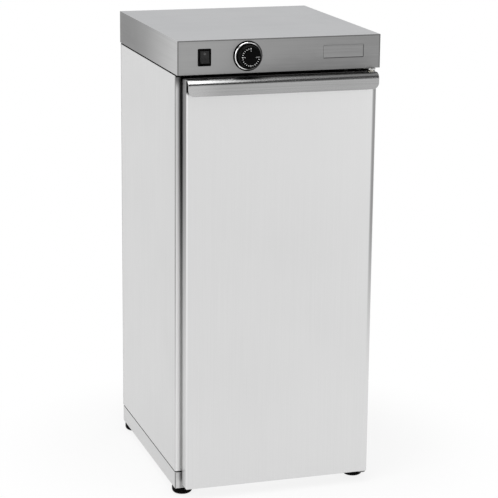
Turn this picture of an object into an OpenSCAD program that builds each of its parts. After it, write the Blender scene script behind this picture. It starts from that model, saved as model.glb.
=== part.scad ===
// Food holding cabinet: a free-standing heated cupboard for plates and pans.
// Millimetres. The front faces -Y and +Z is up.
// Pieces are drawn with y = 0 at the front face of the top cover, then moved so that
// the origin lies on the floor under the middle of the whole outline.

/* [Cabinet] */
// Overall width, over the top cover
cover_w = 400; // [380:1:440]
// Depth of the top cover
cover_d = 440; // [420:1:500]
// Overall height from the floor
total_h = 900; // [860:1:960]
// Height of the top cover
cover_h = 64; // [62:1:76]
// How far the cover's front face stands ahead of the body
cover_overhang = 20; // [18:1:26]
// How far the body stands inside the cover on each side
body_inset = 1; // [0.5:0.5:2]

/* [Casing] */
// Outer sheet thickness
sheet = 1; // [0.8:0.1:1.5]
// Width of the folded flanges that join the casing sheets
flange = 18; // [14:1:20]
// Thickness of the insulated side and rear walls
wall = 31; // [28:1:36]
// Thickness of the insulated floor
floor_wall = 19; // [16:1:26]
// Thickness of the insulated ceiling
ceiling_wall = 28; // [24:1:36]
// Sheet thickness of the chamber lining
liner = 1; // [0.8:0.1:1.5]
// Height of the base pan
base_h = 35; // [32:1:44]
// Thickness of the body's floor sheet, which shows as the seam over the base pan
seam = 1; // [0.8:0.1:1.5]
// Thickness of the deck that carries the cover and the electrics
deck_t = 2; // [1.5:0.5:3]
// How far the deck and the body's floor stand back from the panels
seam_recess = 3; // [2:0.5:5]
// Width of the cover's lower lip at the sides
cover_lip = 15; // [12:1:18]
// Height of the deck's rear upstand
upstand_h = 22; // [18:1:30]
// Diameter of the casing screws
screw_d = 4; // [3:0.5:5]

/* [Feet] */
// Height of the body over the floor
foot_h = 15; // [14:1:22]
// Diameter of a foot
foot_d = 40; // [34:1:44]
// Diameter of the flat sole
foot_sole_d = 26; // [20:1:30]
// Foot centre, in from the sides and ends of the body
foot_setback = 20; // [19:1:28]
// Diameter of the foot's stud
stud_d = 8; // [6:1:10]
// Length of the stud above the foot
stud_h = 26; // [24:1:28]
// Height of the welded nut
nut_h = 7; // [6:0.5:9]

/* [Door] */
// Door thickness
door_t = 26; // [22:1:32]
// Space between the door and the body, filled by the seal
door_gap = 12; // [9:0.5:15]
// Door edge, in from the side of the cover
door_reveal = 12.5; // [12:0.5:18]
// Space between the door and the cover
door_top_gap = 6.5; // [6:0.5:9]
// Door's lower edge above the underside of the base pan
door_bottom_gap = 10.5; // [7:0.5:12]
// Width of the seal
seal_w = 17; // [14:1:18]
// How far the seal shows outside the door
seal_lip = 1; // [1:0.5:4]
// Clearance of the seal where the door's hinge edge swings past it
seal_relief = 0.4; // [0.3:0.1:1]
// Height of the handle's front plate
handle_h = 30.5; // [26:0.5:40]
// Finger space behind the handle
handle_gap = 12; // [10:1:22]
// Sheet thickness of the handle
handle_t = 1.2; // [1:0.1:2]
// Outer bend radius along the top of the handle
handle_bend_r = 12; // [4:0.5:12]
// Radius of the handle's lower corners
handle_corner_r = 12; // [6:1:16]
// Diameter of the handle's rivets
rivet_d = 3.2; // [2.5:0.1:4]

/* [Hinge] */
// Hinge axis, in from the door's edge
hinge_inset = 6; // [6:0.5:9]
// Hinge axis, behind the door's front face
hinge_setback = 14; // [13:0.5:16]
// Hinge pin diameter
pin_d = 6; // [5:0.5:6]
// Length of a hinge pin inside the door
pin_grip = 18; // [14:1:24]
// Wall of the hinge bush
bush_wall = 1.5; // [1:0.1:1.5]
// Thickness of the bush's collar
bush_collar = 1; // [0.8:0.1:1.5]
// Plate thickness of the hinge brackets
bracket_t = 2; // [2:0.5:3]
// Length of the upper hinge bracket, from its free end to the hinge axis
upper_bracket_l = 57; // [50:1:70]
// Length of the lower hinge bracket, from its free end to the hinge axis
lower_bracket_l = 42; // [38:1:60]
// Bracket edge around the hinge axis
bracket_edge = 8; // [7:0.5:10]

/* [Controls] */
// Height of the controls above the cover's lower edge
control_h = 32; // [31:0.5:34]
// Knob centre, in from the cover's left end
knob_offset = 136; // [124:1:140]
// Diameter of the knob at its base
knob_d = 44; // [42:1:46]
// Diameter of the knob's face
knob_face_d = 41; // [36:1:42]
// Height of the knob over the panel
knob_h = 20; // [16:1:28]
// Diameter of the knob's trim ring
dial_ring_d = 53; // [50:0.5:54]
// Diameter of the dark plate under the knob
dial_plate_d = 57; // [56:0.5:60]
// Diameter of the thermostat's shaft
shaft_d = 6; // [5:0.5:8]
// Switch centre, in from the cover's left end
switch_offset = 52; // [45:1:58]
// Width of the switch bezel
switch_w = 25.5; // [25:0.1:28]
// Height of the switch bezel
switch_h = 32.5; // [32:0.1:36]
// Tilt of the rocker to each side
rocker_tilt = 9; // [6:0.5:10]
// Badge centre, in from the cover's right end
badge_offset = 74; // [60:1:90]
// Badge centre above the cover's lower edge
badge_h = 34; // [30:0.5:40]
// Width of the badge plate
badge_w = 81; // [60:1:90]
// Height of the badge plate
badge_tall = 25; // [18:0.5:28]
// Bore of the cable gland
gland_bore = 9; // [7:0.5:10]
// Length of the gland outside the cover
gland_l = 18; // [14:1:24]

/* [Inside] */
// Lower shelf, above the chamber floor
lower_shelf_h = 270; // [200:5:330]
// Upper shelf, above the chamber floor
upper_shelf_h = 500; // [440:5:560]
// Rod diameter of a shelf frame
shelf_rod_d = 6; // [5:0.5:8]
// Wire diameter of a shelf
shelf_wire_d = 3.5; // [2.5:0.5:4]
// Number of wires in a shelf
shelf_wires = 13; // [7:1:17]
// Width of a shelf rail's ledge
rail_w = 14; // [12:1:16]
// Height of the rails' end lugs
rail_lug = 6; // [4:0.5:8]
// Diameter of the heating element
heater_d = 8; // [6.5:0.5:9]
// Heating element above the chamber floor
heater_z = 18; // [14:1:22]
// Distance between two runs of the element
heater_pitch = 60; // [50:2:64]
// Height of the guard over the element
guard_h = 38; // [34:1:50]
// Slots across the guard
guard_columns = 7; // [3:1:9]
// Rows of slots in the guard
guard_rows = 9; // [4:1:11]
// Diameter of the sensor bulb
bulb_d = 6.5; // [5:0.5:8]
// Length of the sensor bulb
bulb_l = 90; // [80:2:120]
// Diameter of the capillary tube
capillary_d = 2; // [1.5:0.5:3]
// Diameter of the wires
wire_d = 3; // [2:0.5:3.5]

/* [Fits] */
// Radial clearance of a running fit
fit = 0.08; // [0.03:0.01:0.1]
// Clearance between pieces that stay free of each other
play = 0.3; // [0.2:0.05:0.4]

/* [Hidden] */
$fn = 48;
// Overlap of a cutter past the faces that it cuts
cut = 1;

// Body and base planes
body_x = cover_w / 2 - body_inset;
body_f = cover_overhang;
body_b = cover_d - body_inset;
base_z0 = foot_h;
base_z1 = base_z0 + base_h;
body_z0 = base_z1 + seam;
cover_z0 = total_h - cover_h;
body_z1 = cover_z0 - deck_t;

// Chamber planes, on the inside of the lining
chamber_x = body_x - wall;
chamber_f = body_f + sheet;
chamber_b = body_b - wall;
chamber_z0 = body_z0 + floor_wall;
chamber_z1 = body_z1 - ceiling_wall;

// Door planes
door_x = cover_w / 2 - door_reveal;
door_b = body_f - door_gap;
door_f = door_b - door_t;
door_z0 = base_z0 + door_bottom_gap;
door_z1 = cover_z0 - door_top_gap;

// Hinge
hinge_x = door_x - hinge_inset;
hinge_y = door_f + hinge_setback;
bush_d = pin_d + 2 * (fit + bush_wall);
bush_collar_d = bush_d + 2;
bush_l = pin_grip + 2;
washer_t = 1.4;
lower_bracket_z1 = door_z0 - bush_collar - washer_t - fit;
lower_leg_h = 28;
leg_screw_z = lower_bracket_z1 + lower_leg_h * 0.6;
upper_screws_x = [hinge_x - upper_bracket_l + 11, hinge_x - upper_bracket_l + 36];
upper_screw_y = hinge_y + 16;
upper_plate_f = upper_screw_y - 5;
lower_screws_x = [hinge_x - lower_bracket_l + 10, hinge_x - 8];

// Seal ring, its outer edges; the magnets lie at the door's back
seal_x1 = door_x + seal_lip;
hinge_reach = norm([hinge_inset, door_b - hinge_y]);
seal_step = hinge_y + hinge_reach + seal_relief;
seal_step_x = min(hinge_x - hinge_inset, seal_x1 - seal_w) - play;
seal_z0 = chamber_z0 - seal_w - 1;
seal_z1 = chamber_z1 + seal_w + 1;
magnet_l = 60;
magnet_w = 9;
magnet_t = 3;

// Handle
handle_top = door_z1 + handle_t;
handle_f = door_f - handle_gap - handle_t;
handle_seat = hinge_setback - bush_collar_d / 2 - 1;
rivets_x = [for (i = [-1.5 : 1 : 1.5]) i * door_x / 2];
rivet_y = door_f + handle_seat / 2;
rivet_l = 5;

// Controls
control_z = cover_z0 + control_h;
knob_x = knob_offset - cover_w / 2;
switch_x = switch_offset - cover_w / 2;
badge_x = cover_w / 2 - badge_offset;
dial_plate_t = 1.5;
dial_ring_t = 3.5;
knob_cap = 4;
knob_skirt = 3;
knob_gap = 1;
shaft_bush_d = shaft_d + 5;
thermostat_l = 40;
switch_body = [22, 28, 30];
switch_lip = 2;
rocker_w = 17;
rocker_tall = 23;
rocker_y = 1;
rocker_pin_d = 3;
well_w = rocker_w + 1.2;
well_tall = rocker_tall + 2;
well_l = 9;
blade = [1, 8, 5];
badge_t = 0.8;
gland_inset = 70;
gland_x = gland_inset - cover_w / 2;
gland_thread_d = gland_bore + 7;
gland_hex = 22;
gland_z = cover_z0 + upstand_h + 0.55 * gland_hex + 3;
gland_nut_l = 5;
block_x = 40;
block_y = chamber_b - 20;
block = [60, 24, 20];

// Inside
rail_y0 = chamber_f + 16;
rail_y1 = chamber_b - play;
rail_t = 1.2;
rail_leg = 20;
shelf_x = chamber_x - 3;
shelf_y0 = rail_y0 + rail_t + 2;
shelf_y1 = chamber_b - 4;
shelf_bend_r = 14;
heater_front = chamber_f + 70;
heater_rear = chamber_b - 70;
lead_x = 1.5 * heater_pitch;
lead_y = chamber_b + 22;
heater_end = lead_y + 3;
fitting_d = heater_d + 4;
fitting_hex = 19;
stand_t = 2;
guard_t = 1;
guard_y1 = chamber_b - 10;
bulb_y = chamber_b - 9;
bulb_z = chamber_z1 - 45;
bulb_clips_x = [-0.3 * bulb_l, 0.3 * bulb_l];
capillary_x = -100;
capillary_y = chamber_b - 12;
passage_d = 10;
lead_channel = 26;

// Screws
screw_head_d = 2 * screw_d;
screw_head_h = 0.55 * screw_d;
screw_l = 9;
rear_screws_z = [for (k = [0 : 3]) body_z0 + 40 + k * (body_z1 - body_z0 - 80) / 3];
rear_screw_x = body_x - flange / 2;
lid_screw_inset = 50;
lid_screws_x = [for (i = [-1 : 1]) i * (cover_w / 2 - lid_screw_inset)];
lid_screw_z = cover_z0 + 12;

// Feet
foot_xs = [-1, 1];
foot_front_y = body_f + foot_setback;
foot_rear_y = body_b - foot_setback;
foot_crown = 4;

// Middle of the outline from the handle to the gland
y_middle = (handle_f + cover_d + gland_l) / 2;

// Moves a piece from the drawing frame into the shared frame
module place() {
    translate([0, -y_middle, 0]) children();
}

// Box between two opposite corners
module box(lo, hi) {
    translate(lo) cube(hi - lo);
}

// Rod from one point to another along one axis: 0 for X, 1 for Y, 2 for Z
module rod(start, length, d, axis) {
    turn = [[0, 90, 0], [-90, 0, 0], [0, 0, 0]][axis];
    translate(start) rotate(turn) cylinder(d = d, h = length);
}

// Rectangle with round corners, centred
module round_rect(w, h, r) {
    square([w - 2 * r, h], center = true);
    square([w, h - 2 * r], center = true);
    for (sx = [-1, 1], sy = [-1, 1])
        translate([sx * (w / 2 - r), sy * (h / 2 - r)]) circle(r);
}

// Stands a flat outline up in the XZ plane, with its thickness towards -Y
module upright(x, y, z, t) {
    translate([x, y, z]) rotate([90, 0, 0]) linear_extrude(t) children();
}

// Screw along +Z with its head below z = 0
module screw(d, head_d, head_h, l) {
    cylinder(d = d, h = l);
    difference() {
        translate([0, 0, -head_h]) cylinder(d = head_d, h = head_h);
        for (a = [0, 90])
            rotate(a) translate([0, 0, -head_h]) cube([head_d * 0.6, d / 5, head_h], center = true);
    }
}

// Unit vector
function unit(v) = v / norm(v);

// Direction of a path at point i, halfway between its two neighbouring runs
function heading(p, i) =
    let (last = len(p) - 1, a = max(i - 1, 0), b = min(i, last - 1))
    unit(unit(p[a + 1] - p[a]) + unit(p[b + 1] - p[b]));

// Point of a smooth curve on the run from point i to the next one, with t from 0 to 1
function curve(p, i, t) =
    let (run = norm(p[i + 1] - p[i]), h0 = heading(p, i) * run, h1 = heading(p, i + 1) * run)
    p[i] * (1 - 3 * t * t + 2 * t * t * t) + h0 * (t - 2 * t * t + t * t * t)
    + p[i + 1] * (3 * t * t - 2 * t * t * t) + h1 * (t * t * t - t * t);

// Smooth path through chosen points, with the given number of steps between them
function smooth(p, steps) = [
    for (i = [0 : len(p) - 2], k = [0 : steps - 1]) curve(p, i, k / steps),
    p[len(p) - 1]
];

// Normals carried along a path without twist
function carried(p, i = 0, seed = [1, 0.2, 0.1]) =
    let (h = heading(p, i), n = unit(seed - (seed * h) * h))
    i == len(p) - 1 ? [n] : concat([n], carried(p, i + 1, n));

// Round tube of diameter d along a path
module tube(p, d, sides = 8) {
    n = carried(p);
    points = [
        for (i = [0 : len(p) - 1], k = [0 : sides - 1])
            let (a = 360 * k / sides, b = cross(heading(p, i), n[i]))
            p[i] + (n[i] * cos(a) + b * sin(a)) * d / 2
    ];
    last = (len(p) - 1) * sides;
    faces = concat(
        [for (k = [1 : sides - 2]) [0, k, k + 1]],
        [for (k = [1 : sides - 2]) [last, last + k + 1, last + k]],
        [for (i = [0 : len(p) - 2], k = [0 : sides - 1])
            [i * sides + k, (i + 1) * sides + k, i * sides + (k + 1) % sides]],
        [for (i = [0 : len(p) - 2], k = [0 : sides - 1])
            [i * sides + (k + 1) % sides, (i + 1) * sides + k, (i + 1) * sides + (k + 1) % sides]]
    );
    polyhedron(points, faces);
}

// Base pan with an inward lip and holes for the feet and the lower hinge
module base_pan() {
    color("gainsboro") place() difference() {
        box([-body_x, body_f, base_z0], [body_x, body_b, base_z1]);
        box([-body_x + sheet, body_f + sheet, base_z0 + sheet],
            [body_x - sheet, body_b - sheet, base_z1 - sheet]);
        box([-body_x + flange, body_f + flange, base_z1 - sheet - cut],
            [body_x - flange, body_b - flange, base_z1 + cut]);
        for (sx = foot_xs, y = [foot_front_y, foot_rear_y])
            translate([sx * (body_x - foot_setback), y, base_z0 - cut])
                cylinder(d = stud_d + 2 * play, h = sheet + 2 * cut);
        for (x = lower_screws_x)
            rod([x, body_f - cut, leg_screw_z], sheet + 2 * cut, screw_d + 2 * fit, 1);
    }
}

// Four nuts welded inside the base pan
module foot_nuts() {
    color("silver") place() for (sx = foot_xs, y = [foot_front_y, foot_rear_y])
        translate([sx * (body_x - foot_setback), y, base_z0 + sheet]) difference() {
            cylinder(d = 2 * stud_d, h = nut_h, $fn = 6);
            translate([0, 0, -cut]) cylinder(d = stud_d + 2 * fit, h = nut_h + 2 * cut);
        }
}

// Levelling foot with its stud moulded in
module foot(sx, y) {
    color("dimgray") place() translate([sx * (body_x - foot_setback), y, 0]) {
        rotate_extrude() {
            square([foot_sole_d / 2, foot_h - play]);
            translate([0, foot_h / 2]) square([foot_d / 2, foot_h / 2 - play - foot_crown / 2]);
            polygon([[0, 0], [foot_sole_d / 2, 0], [foot_d / 2 - foot_crown / 2, foot_h / 4],
                [foot_d / 2, foot_h / 2], [0, foot_h / 2]]);
        }
        cylinder(d = stud_d, h = foot_h + stud_h);
    }
}

// Front left foot
module foot_front_left() {
    foot(-1, foot_front_y);
}

// Front right foot
module foot_front_right() {
    foot(1, foot_front_y);
}

// Rear left foot
module foot_rear_left() {
    foot(-1, foot_rear_y);
}

// Rear right foot
module foot_rear_right() {
    foot(1, foot_rear_y);
}

// Left side sheet with its four folded flanges
module side_panel() {
    rear = body_b - sheet;
    difference() {
        union() {
            box([-body_x, body_f, body_z0], [-body_x + sheet, rear, body_z1]);
            box([-body_x, body_f, body_z0], [-chamber_x, body_f + sheet, body_z1]);
            box([-body_x, rear - sheet, body_z0], [-body_x + flange, rear, body_z1]);
            box([-body_x, body_f, body_z0], [-body_x + flange, rear, body_z0 + sheet]);
            box([-body_x, body_f, body_z1 - sheet], [-body_x + flange, rear, body_z1]);
        }
        for (z = rear_screws_z)
            rod([-rear_screw_x, rear - sheet - cut, z], sheet + 2 * cut, screw_d + 2 * fit, 1);
    }
}

// Left side of the casing
module left_side_panel() {
    color("lightgray") place() side_panel();
}

// Right side of the casing
module right_side_panel() {
    color("lightgray") place() mirror([1, 0, 0]) side_panel();
}

// Front rail over the opening
module front_top_rail() {
    color("lightgray") place()
        box([-chamber_x, body_f, chamber_z1], [chamber_x, body_f + sheet, body_z1]);
}

// Front rail under the opening
module front_bottom_rail() {
    color("lightgray") place()
        box([-chamber_x, body_f, body_z0], [chamber_x, body_f + sheet, chamber_z0]);
}

// Rear sheet, screwed to the side flanges
module rear_panel() {
    color("lightgray") place() difference() {
        box([-body_x, body_b - sheet, body_z0], [body_x, body_b, body_z1]);
        for (sx = [-1, 1], z = rear_screws_z)
            rod([sx * rear_screw_x, body_b - sheet - cut, z], sheet + 2 * cut, screw_d + 2 * fit, 1);
    }
}

// Floor sheet of the body, resting on the base pan's lip
module body_floor() {
    color("gray") place()
        box([-body_x + seam_recess, body_f + seam_recess, base_z1],
            [body_x - seam_recess, body_b - seam_recess, body_z0]);
}

// Deck that closes the body, carries the electrics and holds the cover
module electrics_deck() {
    rear = cover_d - sheet;
    color("gray") place() difference() {
        union() {
            box([-body_x + seam_recess, body_f + seam_recess, body_z1],
                [body_x - seam_recess, rear, cover_z0]);
            box([-body_x + flange + seam_recess, rear - deck_t, body_z1],
                [body_x - flange - seam_recess, rear, cover_z0 + upstand_h]);
        }
        translate([capillary_x, capillary_y, body_z1 - cut])
            cylinder(d = passage_d, h = deck_t + 2 * cut);
        for (sx = [-1, 1])
            translate([sx * lead_x, lead_y, body_z1 - cut])
                cylinder(d = passage_d, h = deck_t + 2 * cut);
        for (x = lid_screws_x)
            rod([x, rear - deck_t - cut, lid_screw_z], deck_t + 2 * cut, screw_d + 2 * fit, 1);
    }
}

// Left chamber lining
module liner_left() {
    color("whitesmoke") place()
        box([-chamber_x - liner, chamber_f, chamber_z0], [-chamber_x, chamber_b, chamber_z1]);
}

// Right chamber lining
module liner_right() {
    color("whitesmoke") place()
        box([chamber_x, chamber_f, chamber_z0], [chamber_x + liner, chamber_b, chamber_z1]);
}

// Rear chamber lining with holes for the element's fittings
module liner_rear() {
    color("whitesmoke") place() difference() {
        box([-chamber_x - liner, chamber_b, chamber_z0],
            [chamber_x + liner, chamber_b + liner, chamber_z1]);
        for (sx = [-1, 1])
            rod([sx * lead_x, chamber_b - cut, chamber_z0 + heater_z], liner + 2 * cut,
                fitting_d + 2 * fit, 1);
    }
}

// Ceiling of the chamber with a hole for the capillary tube
module liner_ceiling() {
    color("whitesmoke") place() difference() {
        box([-chamber_x - liner, chamber_f, chamber_z1],
            [chamber_x + liner, chamber_b + liner, chamber_z1 + liner]);
        translate([capillary_x, capillary_y, chamber_z1 - cut])
            cylinder(d = passage_d, h = liner + 2 * cut);
    }
}

// Floor of the chamber
module liner_floor() {
    color("whitesmoke") place()
        box([-chamber_x - liner, chamber_f, chamber_z0 - liner],
            [chamber_x + liner, chamber_b + liner, chamber_z0]);
}

// Mineral wool in the two side walls
module side_insulation() {
    color("khaki") place() for (side = [0, 1]) mirror([side, 0, 0])
        difference() {
            box([-body_x + sheet, body_f + sheet, body_z0 + sheet],
                [-chamber_x - liner, body_b - 2 * sheet, body_z1 - sheet]);
            for (z = rear_screws_z)
                rod([-rear_screw_x, body_b - screw_l - cut, z], screw_l + cut, screw_d + 2, 1);
        }
}

// Mineral wool in the rear wall, with two channels for the element's leads
module rear_insulation() {
    color("khaki") place() difference() {
        box([-chamber_x - liner, chamber_b + liner, body_z0],
            [chamber_x + liner, body_b - sheet, body_z1]);
        for (sx = [-1, 1])
            box([sx * lead_x - lead_channel / 2, chamber_b, chamber_z0],
                [sx * lead_x + lead_channel / 2, body_b, body_z1 + cut]);
    }
}

// Mineral wool over the chamber
module ceiling_insulation() {
    color("khaki") place() difference() {
        box([-chamber_x - liner, chamber_f, chamber_z1 + liner],
            [chamber_x + liner, chamber_b + liner, body_z1]);
        translate([capillary_x, capillary_y, chamber_z1])
            cylinder(d = passage_d, h = ceiling_wall + cut);
    }
}

// Mineral wool under the chamber
module floor_insulation() {
    color("khaki") place()
        box([-chamber_x - liner, chamber_f, body_z0],
            [chamber_x + liner, chamber_b + liner, chamber_z0 - liner]);
}

// Pair of left rails: a ledge, a wall leg and a front lug that keeps the shelf in
module shelf_rails() {
    for (h = [lower_shelf_h, upper_shelf_h]) translate([0, 0, chamber_z0 + h]) {
        box([-chamber_x, rail_y0, -rail_t], [-chamber_x + rail_w, rail_y1, 0]);
        box([-chamber_x, rail_y0, -rail_leg], [-chamber_x + rail_t, rail_y1, 0]);
        box([-chamber_x, rail_y0, -rail_t], [-chamber_x + rail_w, rail_y0 + rail_t, rail_lug]);
    }
}

// Left shelf rails
module left_shelf_rails() {
    color("silver") place() shelf_rails();
}

// Right shelf rails
module right_shelf_rails() {
    color("silver") place() mirror([1, 0, 0]) shelf_rails();
}

// Wire shelf: a bent rod frame with two cross bars, and wires welded on top
module shelf(h) {
    x = shelf_x - shelf_rod_d / 2;
    y0 = shelf_y0 + shelf_rod_d / 2;
    y1 = shelf_y1 - shelf_rod_d / 2;
    z = chamber_z0 + h + play + shelf_rod_d / 2;
    weld = 0.6;
    wire_z = z + (shelf_rod_d + shelf_wire_d) / 2 - weld;
    wire_x = x - shelf_bend_r;
    color("gainsboro") place() union() {
        for (y = [y0, y1])
            rod([-x + shelf_bend_r, y, z], 2 * (x - shelf_bend_r), shelf_rod_d, 0);
        for (sx = [-1, 1])
            rod([sx * x, y0 + shelf_bend_r, z], y1 - y0 - 2 * shelf_bend_r, shelf_rod_d, 1);
        for (corner = [[-1, y0, 180], [1, y0, 270], [1, y1, 0], [-1, y1, 90]])
            translate([corner[0] * (x - shelf_bend_r),
                corner[1] == y0 ? y0 + shelf_bend_r : y1 - shelf_bend_r, z])
                rotate(corner[2]) rotate_extrude(angle = 90)
                    translate([shelf_bend_r, 0]) circle(d = shelf_rod_d);
        for (k = [1, 2])
            rod([-x, y0 + k * (y1 - y0) / 3, z], 2 * x, shelf_rod_d, 0);
        for (i = [0 : shelf_wires - 1])
            rod([-wire_x + 2 * wire_x * i / (shelf_wires - 1), shelf_y0, wire_z],
                shelf_y1 - shelf_y0, shelf_wire_d, 1);
    }
}

// Upper shelf
module upper_shelf() {
    shelf(upper_shelf_h);
}

// Lower shelf
module lower_shelf() {
    shelf(lower_shelf_h);
}

// Half turn of the element between two runs
module heater_bend(x, y, turn) {
    translate([x, y, 0]) rotate(turn) rotate_extrude(angle = 180)
        translate([heater_pitch / 2, 0]) circle(d = heater_d);
}

// Sheathed heating element in four runs
module heating_element() {
    p = heater_pitch;
    color("dimgray") place() translate([0, 0, chamber_z0 + heater_z]) union() {
        for (sx = [-1, 1]) {
            rod([sx * lead_x, heater_front, 0], heater_end - heater_front, heater_d, 1);
            rod([sx * p / 2, heater_front, 0], heater_rear - heater_front, heater_d, 1);
            heater_bend(sx * p, heater_front, 180);
        }
        heater_bend(0, heater_rear, 0);
    }
}

// Two stands that carry the element
module heater_stands() {
    margin = 12;
    color("silver") place() for (k = [1, 2]) {
        y = heater_front + k * (heater_rear - heater_front) / 3;
        difference() {
            box([-lead_x - margin, y, chamber_z0],
                [lead_x + margin, y + stand_t, chamber_z0 + heater_z + heater_d]);
            for (i = [-1.5 : 1 : 1.5])
                rod([i * heater_pitch, y - cut, chamber_z0 + heater_z], stand_t + 2 * cut,
                    heater_d + 2 * fit, 1);
        }
    }
}

// Threaded fittings that seal the element's ends in the rear lining
module heater_fittings() {
    flange_l = 5;
    color("goldenrod") place() for (sx = [-1, 1])
        translate([sx * lead_x, chamber_b - flange_l, chamber_z0 + heater_z]) difference() {
            union() {
                rotate([-90, 0, 0]) cylinder(d = fitting_hex, h = flange_l, $fn = 6);
                rod([0, 0, 0], flange_l + liner + 6, fitting_d, 1);
            }
            rod([0, -cut, 0], heater_end, heater_d + 2 * fit, 1);
        }
}

// Slotted guard over the element, standing on its folded sides
module heater_guard() {
    x = chamber_x - 2;
    y0 = chamber_f + 4;
    z1 = chamber_z0 + guard_h;
    pitch_x = 2 * x / (guard_columns + 1);
    pitch_y = (guard_y1 - y0) / (guard_rows + 1);
    slot_w = 5;
    slot_land = 12;
    color("silver") place() difference() {
        union() {
            box([-x, y0, z1 - guard_t], [x, guard_y1, z1]);
            for (side = [0, 1]) mirror([side, 0, 0])
                box([-x, y0, chamber_z0], [-x + guard_t, guard_y1, z1]);
        }
        for (i = [1 : guard_columns], k = [1 : guard_rows])
            translate([-x + i * pitch_x, y0 + k * pitch_y, z1])
                cube([pitch_x - slot_land, slot_w, 2 * guard_t + cut], center = true);
    }
}

// Bulb of the thermostat
module sensor_bulb() {
    color("peru") place() rod([-bulb_l / 2, bulb_y, bulb_z], bulb_l, bulb_d, 0);
}

// Two clips that hold the bulb on the rear lining
module bulb_clips() {
    clip = 8;
    color("silver") place() for (x = bulb_clips_x) difference() {
        box([x - clip / 2, bulb_y - bulb_d, bulb_z - bulb_d],
            [x + clip / 2, chamber_b, bulb_z + bulb_d]);
        rod([x - clip, bulb_y, bulb_z], 2 * clip, bulb_d + 2 * fit, 0);
    }
}

// Capillary tube from the bulb through the ceiling to the thermostat
module capillary_tube() {
    end_y = sheet + thermostat_l;
    points = [
        [-bulb_l / 2, bulb_y, bulb_z],
        [-bulb_l / 2 - 12, bulb_y, bulb_z],
        [capillary_x + 8, capillary_y, bulb_z + 12],
        [capillary_x, capillary_y, chamber_z1 - 10],
        [capillary_x, capillary_y, chamber_z1 + 10],
        [capillary_x, capillary_y, cover_z0 + 4],
        [capillary_x + 2, capillary_y - 24, cover_z0 + 18],
        [knob_x - 22, 250, cover_z0 + 14],
        [knob_x - 10, end_y + 40, control_z - 6],
        [knob_x - 10, end_y + 8, control_z - 6],
        [knob_x - 10, end_y, control_z - 6]
    ];
    color("peru") place() tube(smooth(points, 4), capillary_d);
}

// Top cover: five folded faces with lower lips at the front and the sides
module top_cover() {
    x = cover_w / 2;
    front_lip = body_f + flange;
    color("silver") place() difference() {
        box([-x, 0, cover_z0], [x, cover_d, total_h]);
        box([-x + sheet, sheet, cover_z0 + sheet], [x - sheet, cover_d - sheet, total_h - sheet]);
        box([-x + cover_lip, front_lip, cover_z0 - cut],
            [x - cover_lip, cover_d - sheet, cover_z0 + sheet + cut]);
        translate([switch_x, 0, control_z])
            cube([switch_body[0] + 2 * fit, 2 * sheet + 2 * cut, switch_body[2] + 2 * fit],
                center = true);
        rod([knob_x, -cut, control_z], sheet + 2 * cut, shaft_bush_d + 2 * fit, 1);
        rod([gland_x, cover_d - sheet - cut, gland_z], sheet + 2 * cut,
            gland_thread_d + 2 * fit, 1);
        for (sx = lid_screws_x)
            rod([sx, cover_d - sheet - cut, lid_screw_z], sheet + 2 * cut, screw_d + 2 * fit, 1);
        for (sx = upper_screws_x)
            rod([sx, upper_screw_y, cover_z0 - cut], sheet + 2 * cut, screw_d + 2 * fit, 2);
    }
}

// Blank badge on the front of the cover
module badge_plate() {
    color("lightsteelblue") place()
        upright(badge_x, 0, cover_z0 + badge_h, badge_t)
            round_rect(badge_w, badge_tall, 1.5);
}

// Switch body with its bezel, its well and the rocker's bearing
module switch_housing() {
    b = switch_body;
    color("black") place() translate([switch_x, 0, control_z]) difference() {
        union() {
            upright(0, 0, 0, switch_lip) round_rect(switch_w, switch_h, 2);
            box([-b[0] / 2, 0, -b[2] / 2], [b[0] / 2, b[1], b[2] / 2]);
            for (z = [-9, 0, 9])
                translate([0, b[1] + blade[1] / 2, z]) cube(blade, center = true);
        }
        box([-well_w / 2, -switch_lip - cut, -well_tall / 2], [well_w / 2, well_l, well_tall / 2]);
        rod([-b[0] / 2 + 1, rocker_y, 0], b[0] - 2, rocker_pin_d + 2 * fit, 0);
    }
}

// Rocker with its pivot pin, tilted to its off side
module switch_rocker() {
    h = rocker_tall / 2;
    color("dimgray") place() translate([switch_x, rocker_y, control_z])
        rotate([-rocker_tilt, 0, 0]) union() {
            translate([-rocker_w / 2, 0, 0]) rotate([90, 0, 90]) linear_extrude(rocker_w)
                polygon([[-3.4, 0], [-5, h], [-0.5, h], [4.5, h / 3], [4.5, -h / 3], [-0.5, -h],
                    [-5, -h]]);
            rod([-well_w / 2 - 0.8, 0, 0], well_w + 1.6, rocker_pin_d, 0);
        }
}

// Thermostat behind the panel, with the bush that its shaft turns in
module thermostat_body() {
    w = 38;
    tall = 34;
    color("gray") place() translate([knob_x, 0, control_z]) difference() {
        union() {
            box([-w / 2, sheet, -tall / 2], [w / 2, sheet + thermostat_l, tall / 2]);
            rod([0, -dial_plate_t, 0], sheet + dial_plate_t, shaft_bush_d, 1);
            for (x = [4, 13])
                translate([x, sheet + thermostat_l + blade[1] / 2, 6]) cube(blade, center = true);
        }
        rod([0, -dial_plate_t - cut, 0], thermostat_l / 2, shaft_d + 2 * fit, 1);
    }
}

// Shaft of the thermostat, turned by the knob
module thermostat_shaft() {
    front = knob_cap - knob_h;
    color("silver") place()
        rod([knob_x, front, control_z], thermostat_l / 2 - dial_plate_t - cut - play - front,
            shaft_d, 1);
}

// Tapered knob with a flat face
module thermostat_knob() {
    back = dial_plate_t + play;
    rim = 1.5;
    color("black") place() translate([knob_x, 0, control_z]) rotate([90, 0, 0])
        difference() {
            rotate_extrude() polygon([[0, back], [knob_d / 2, back], [knob_d / 2, back + knob_skirt],
                [knob_face_d / 2, knob_h - rim], [knob_face_d / 2 - rim, knob_h], [0, knob_h]]);
            cylinder(d = shaft_d + 2 * fit, h = knob_h - knob_cap + play);
        }
}

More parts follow.
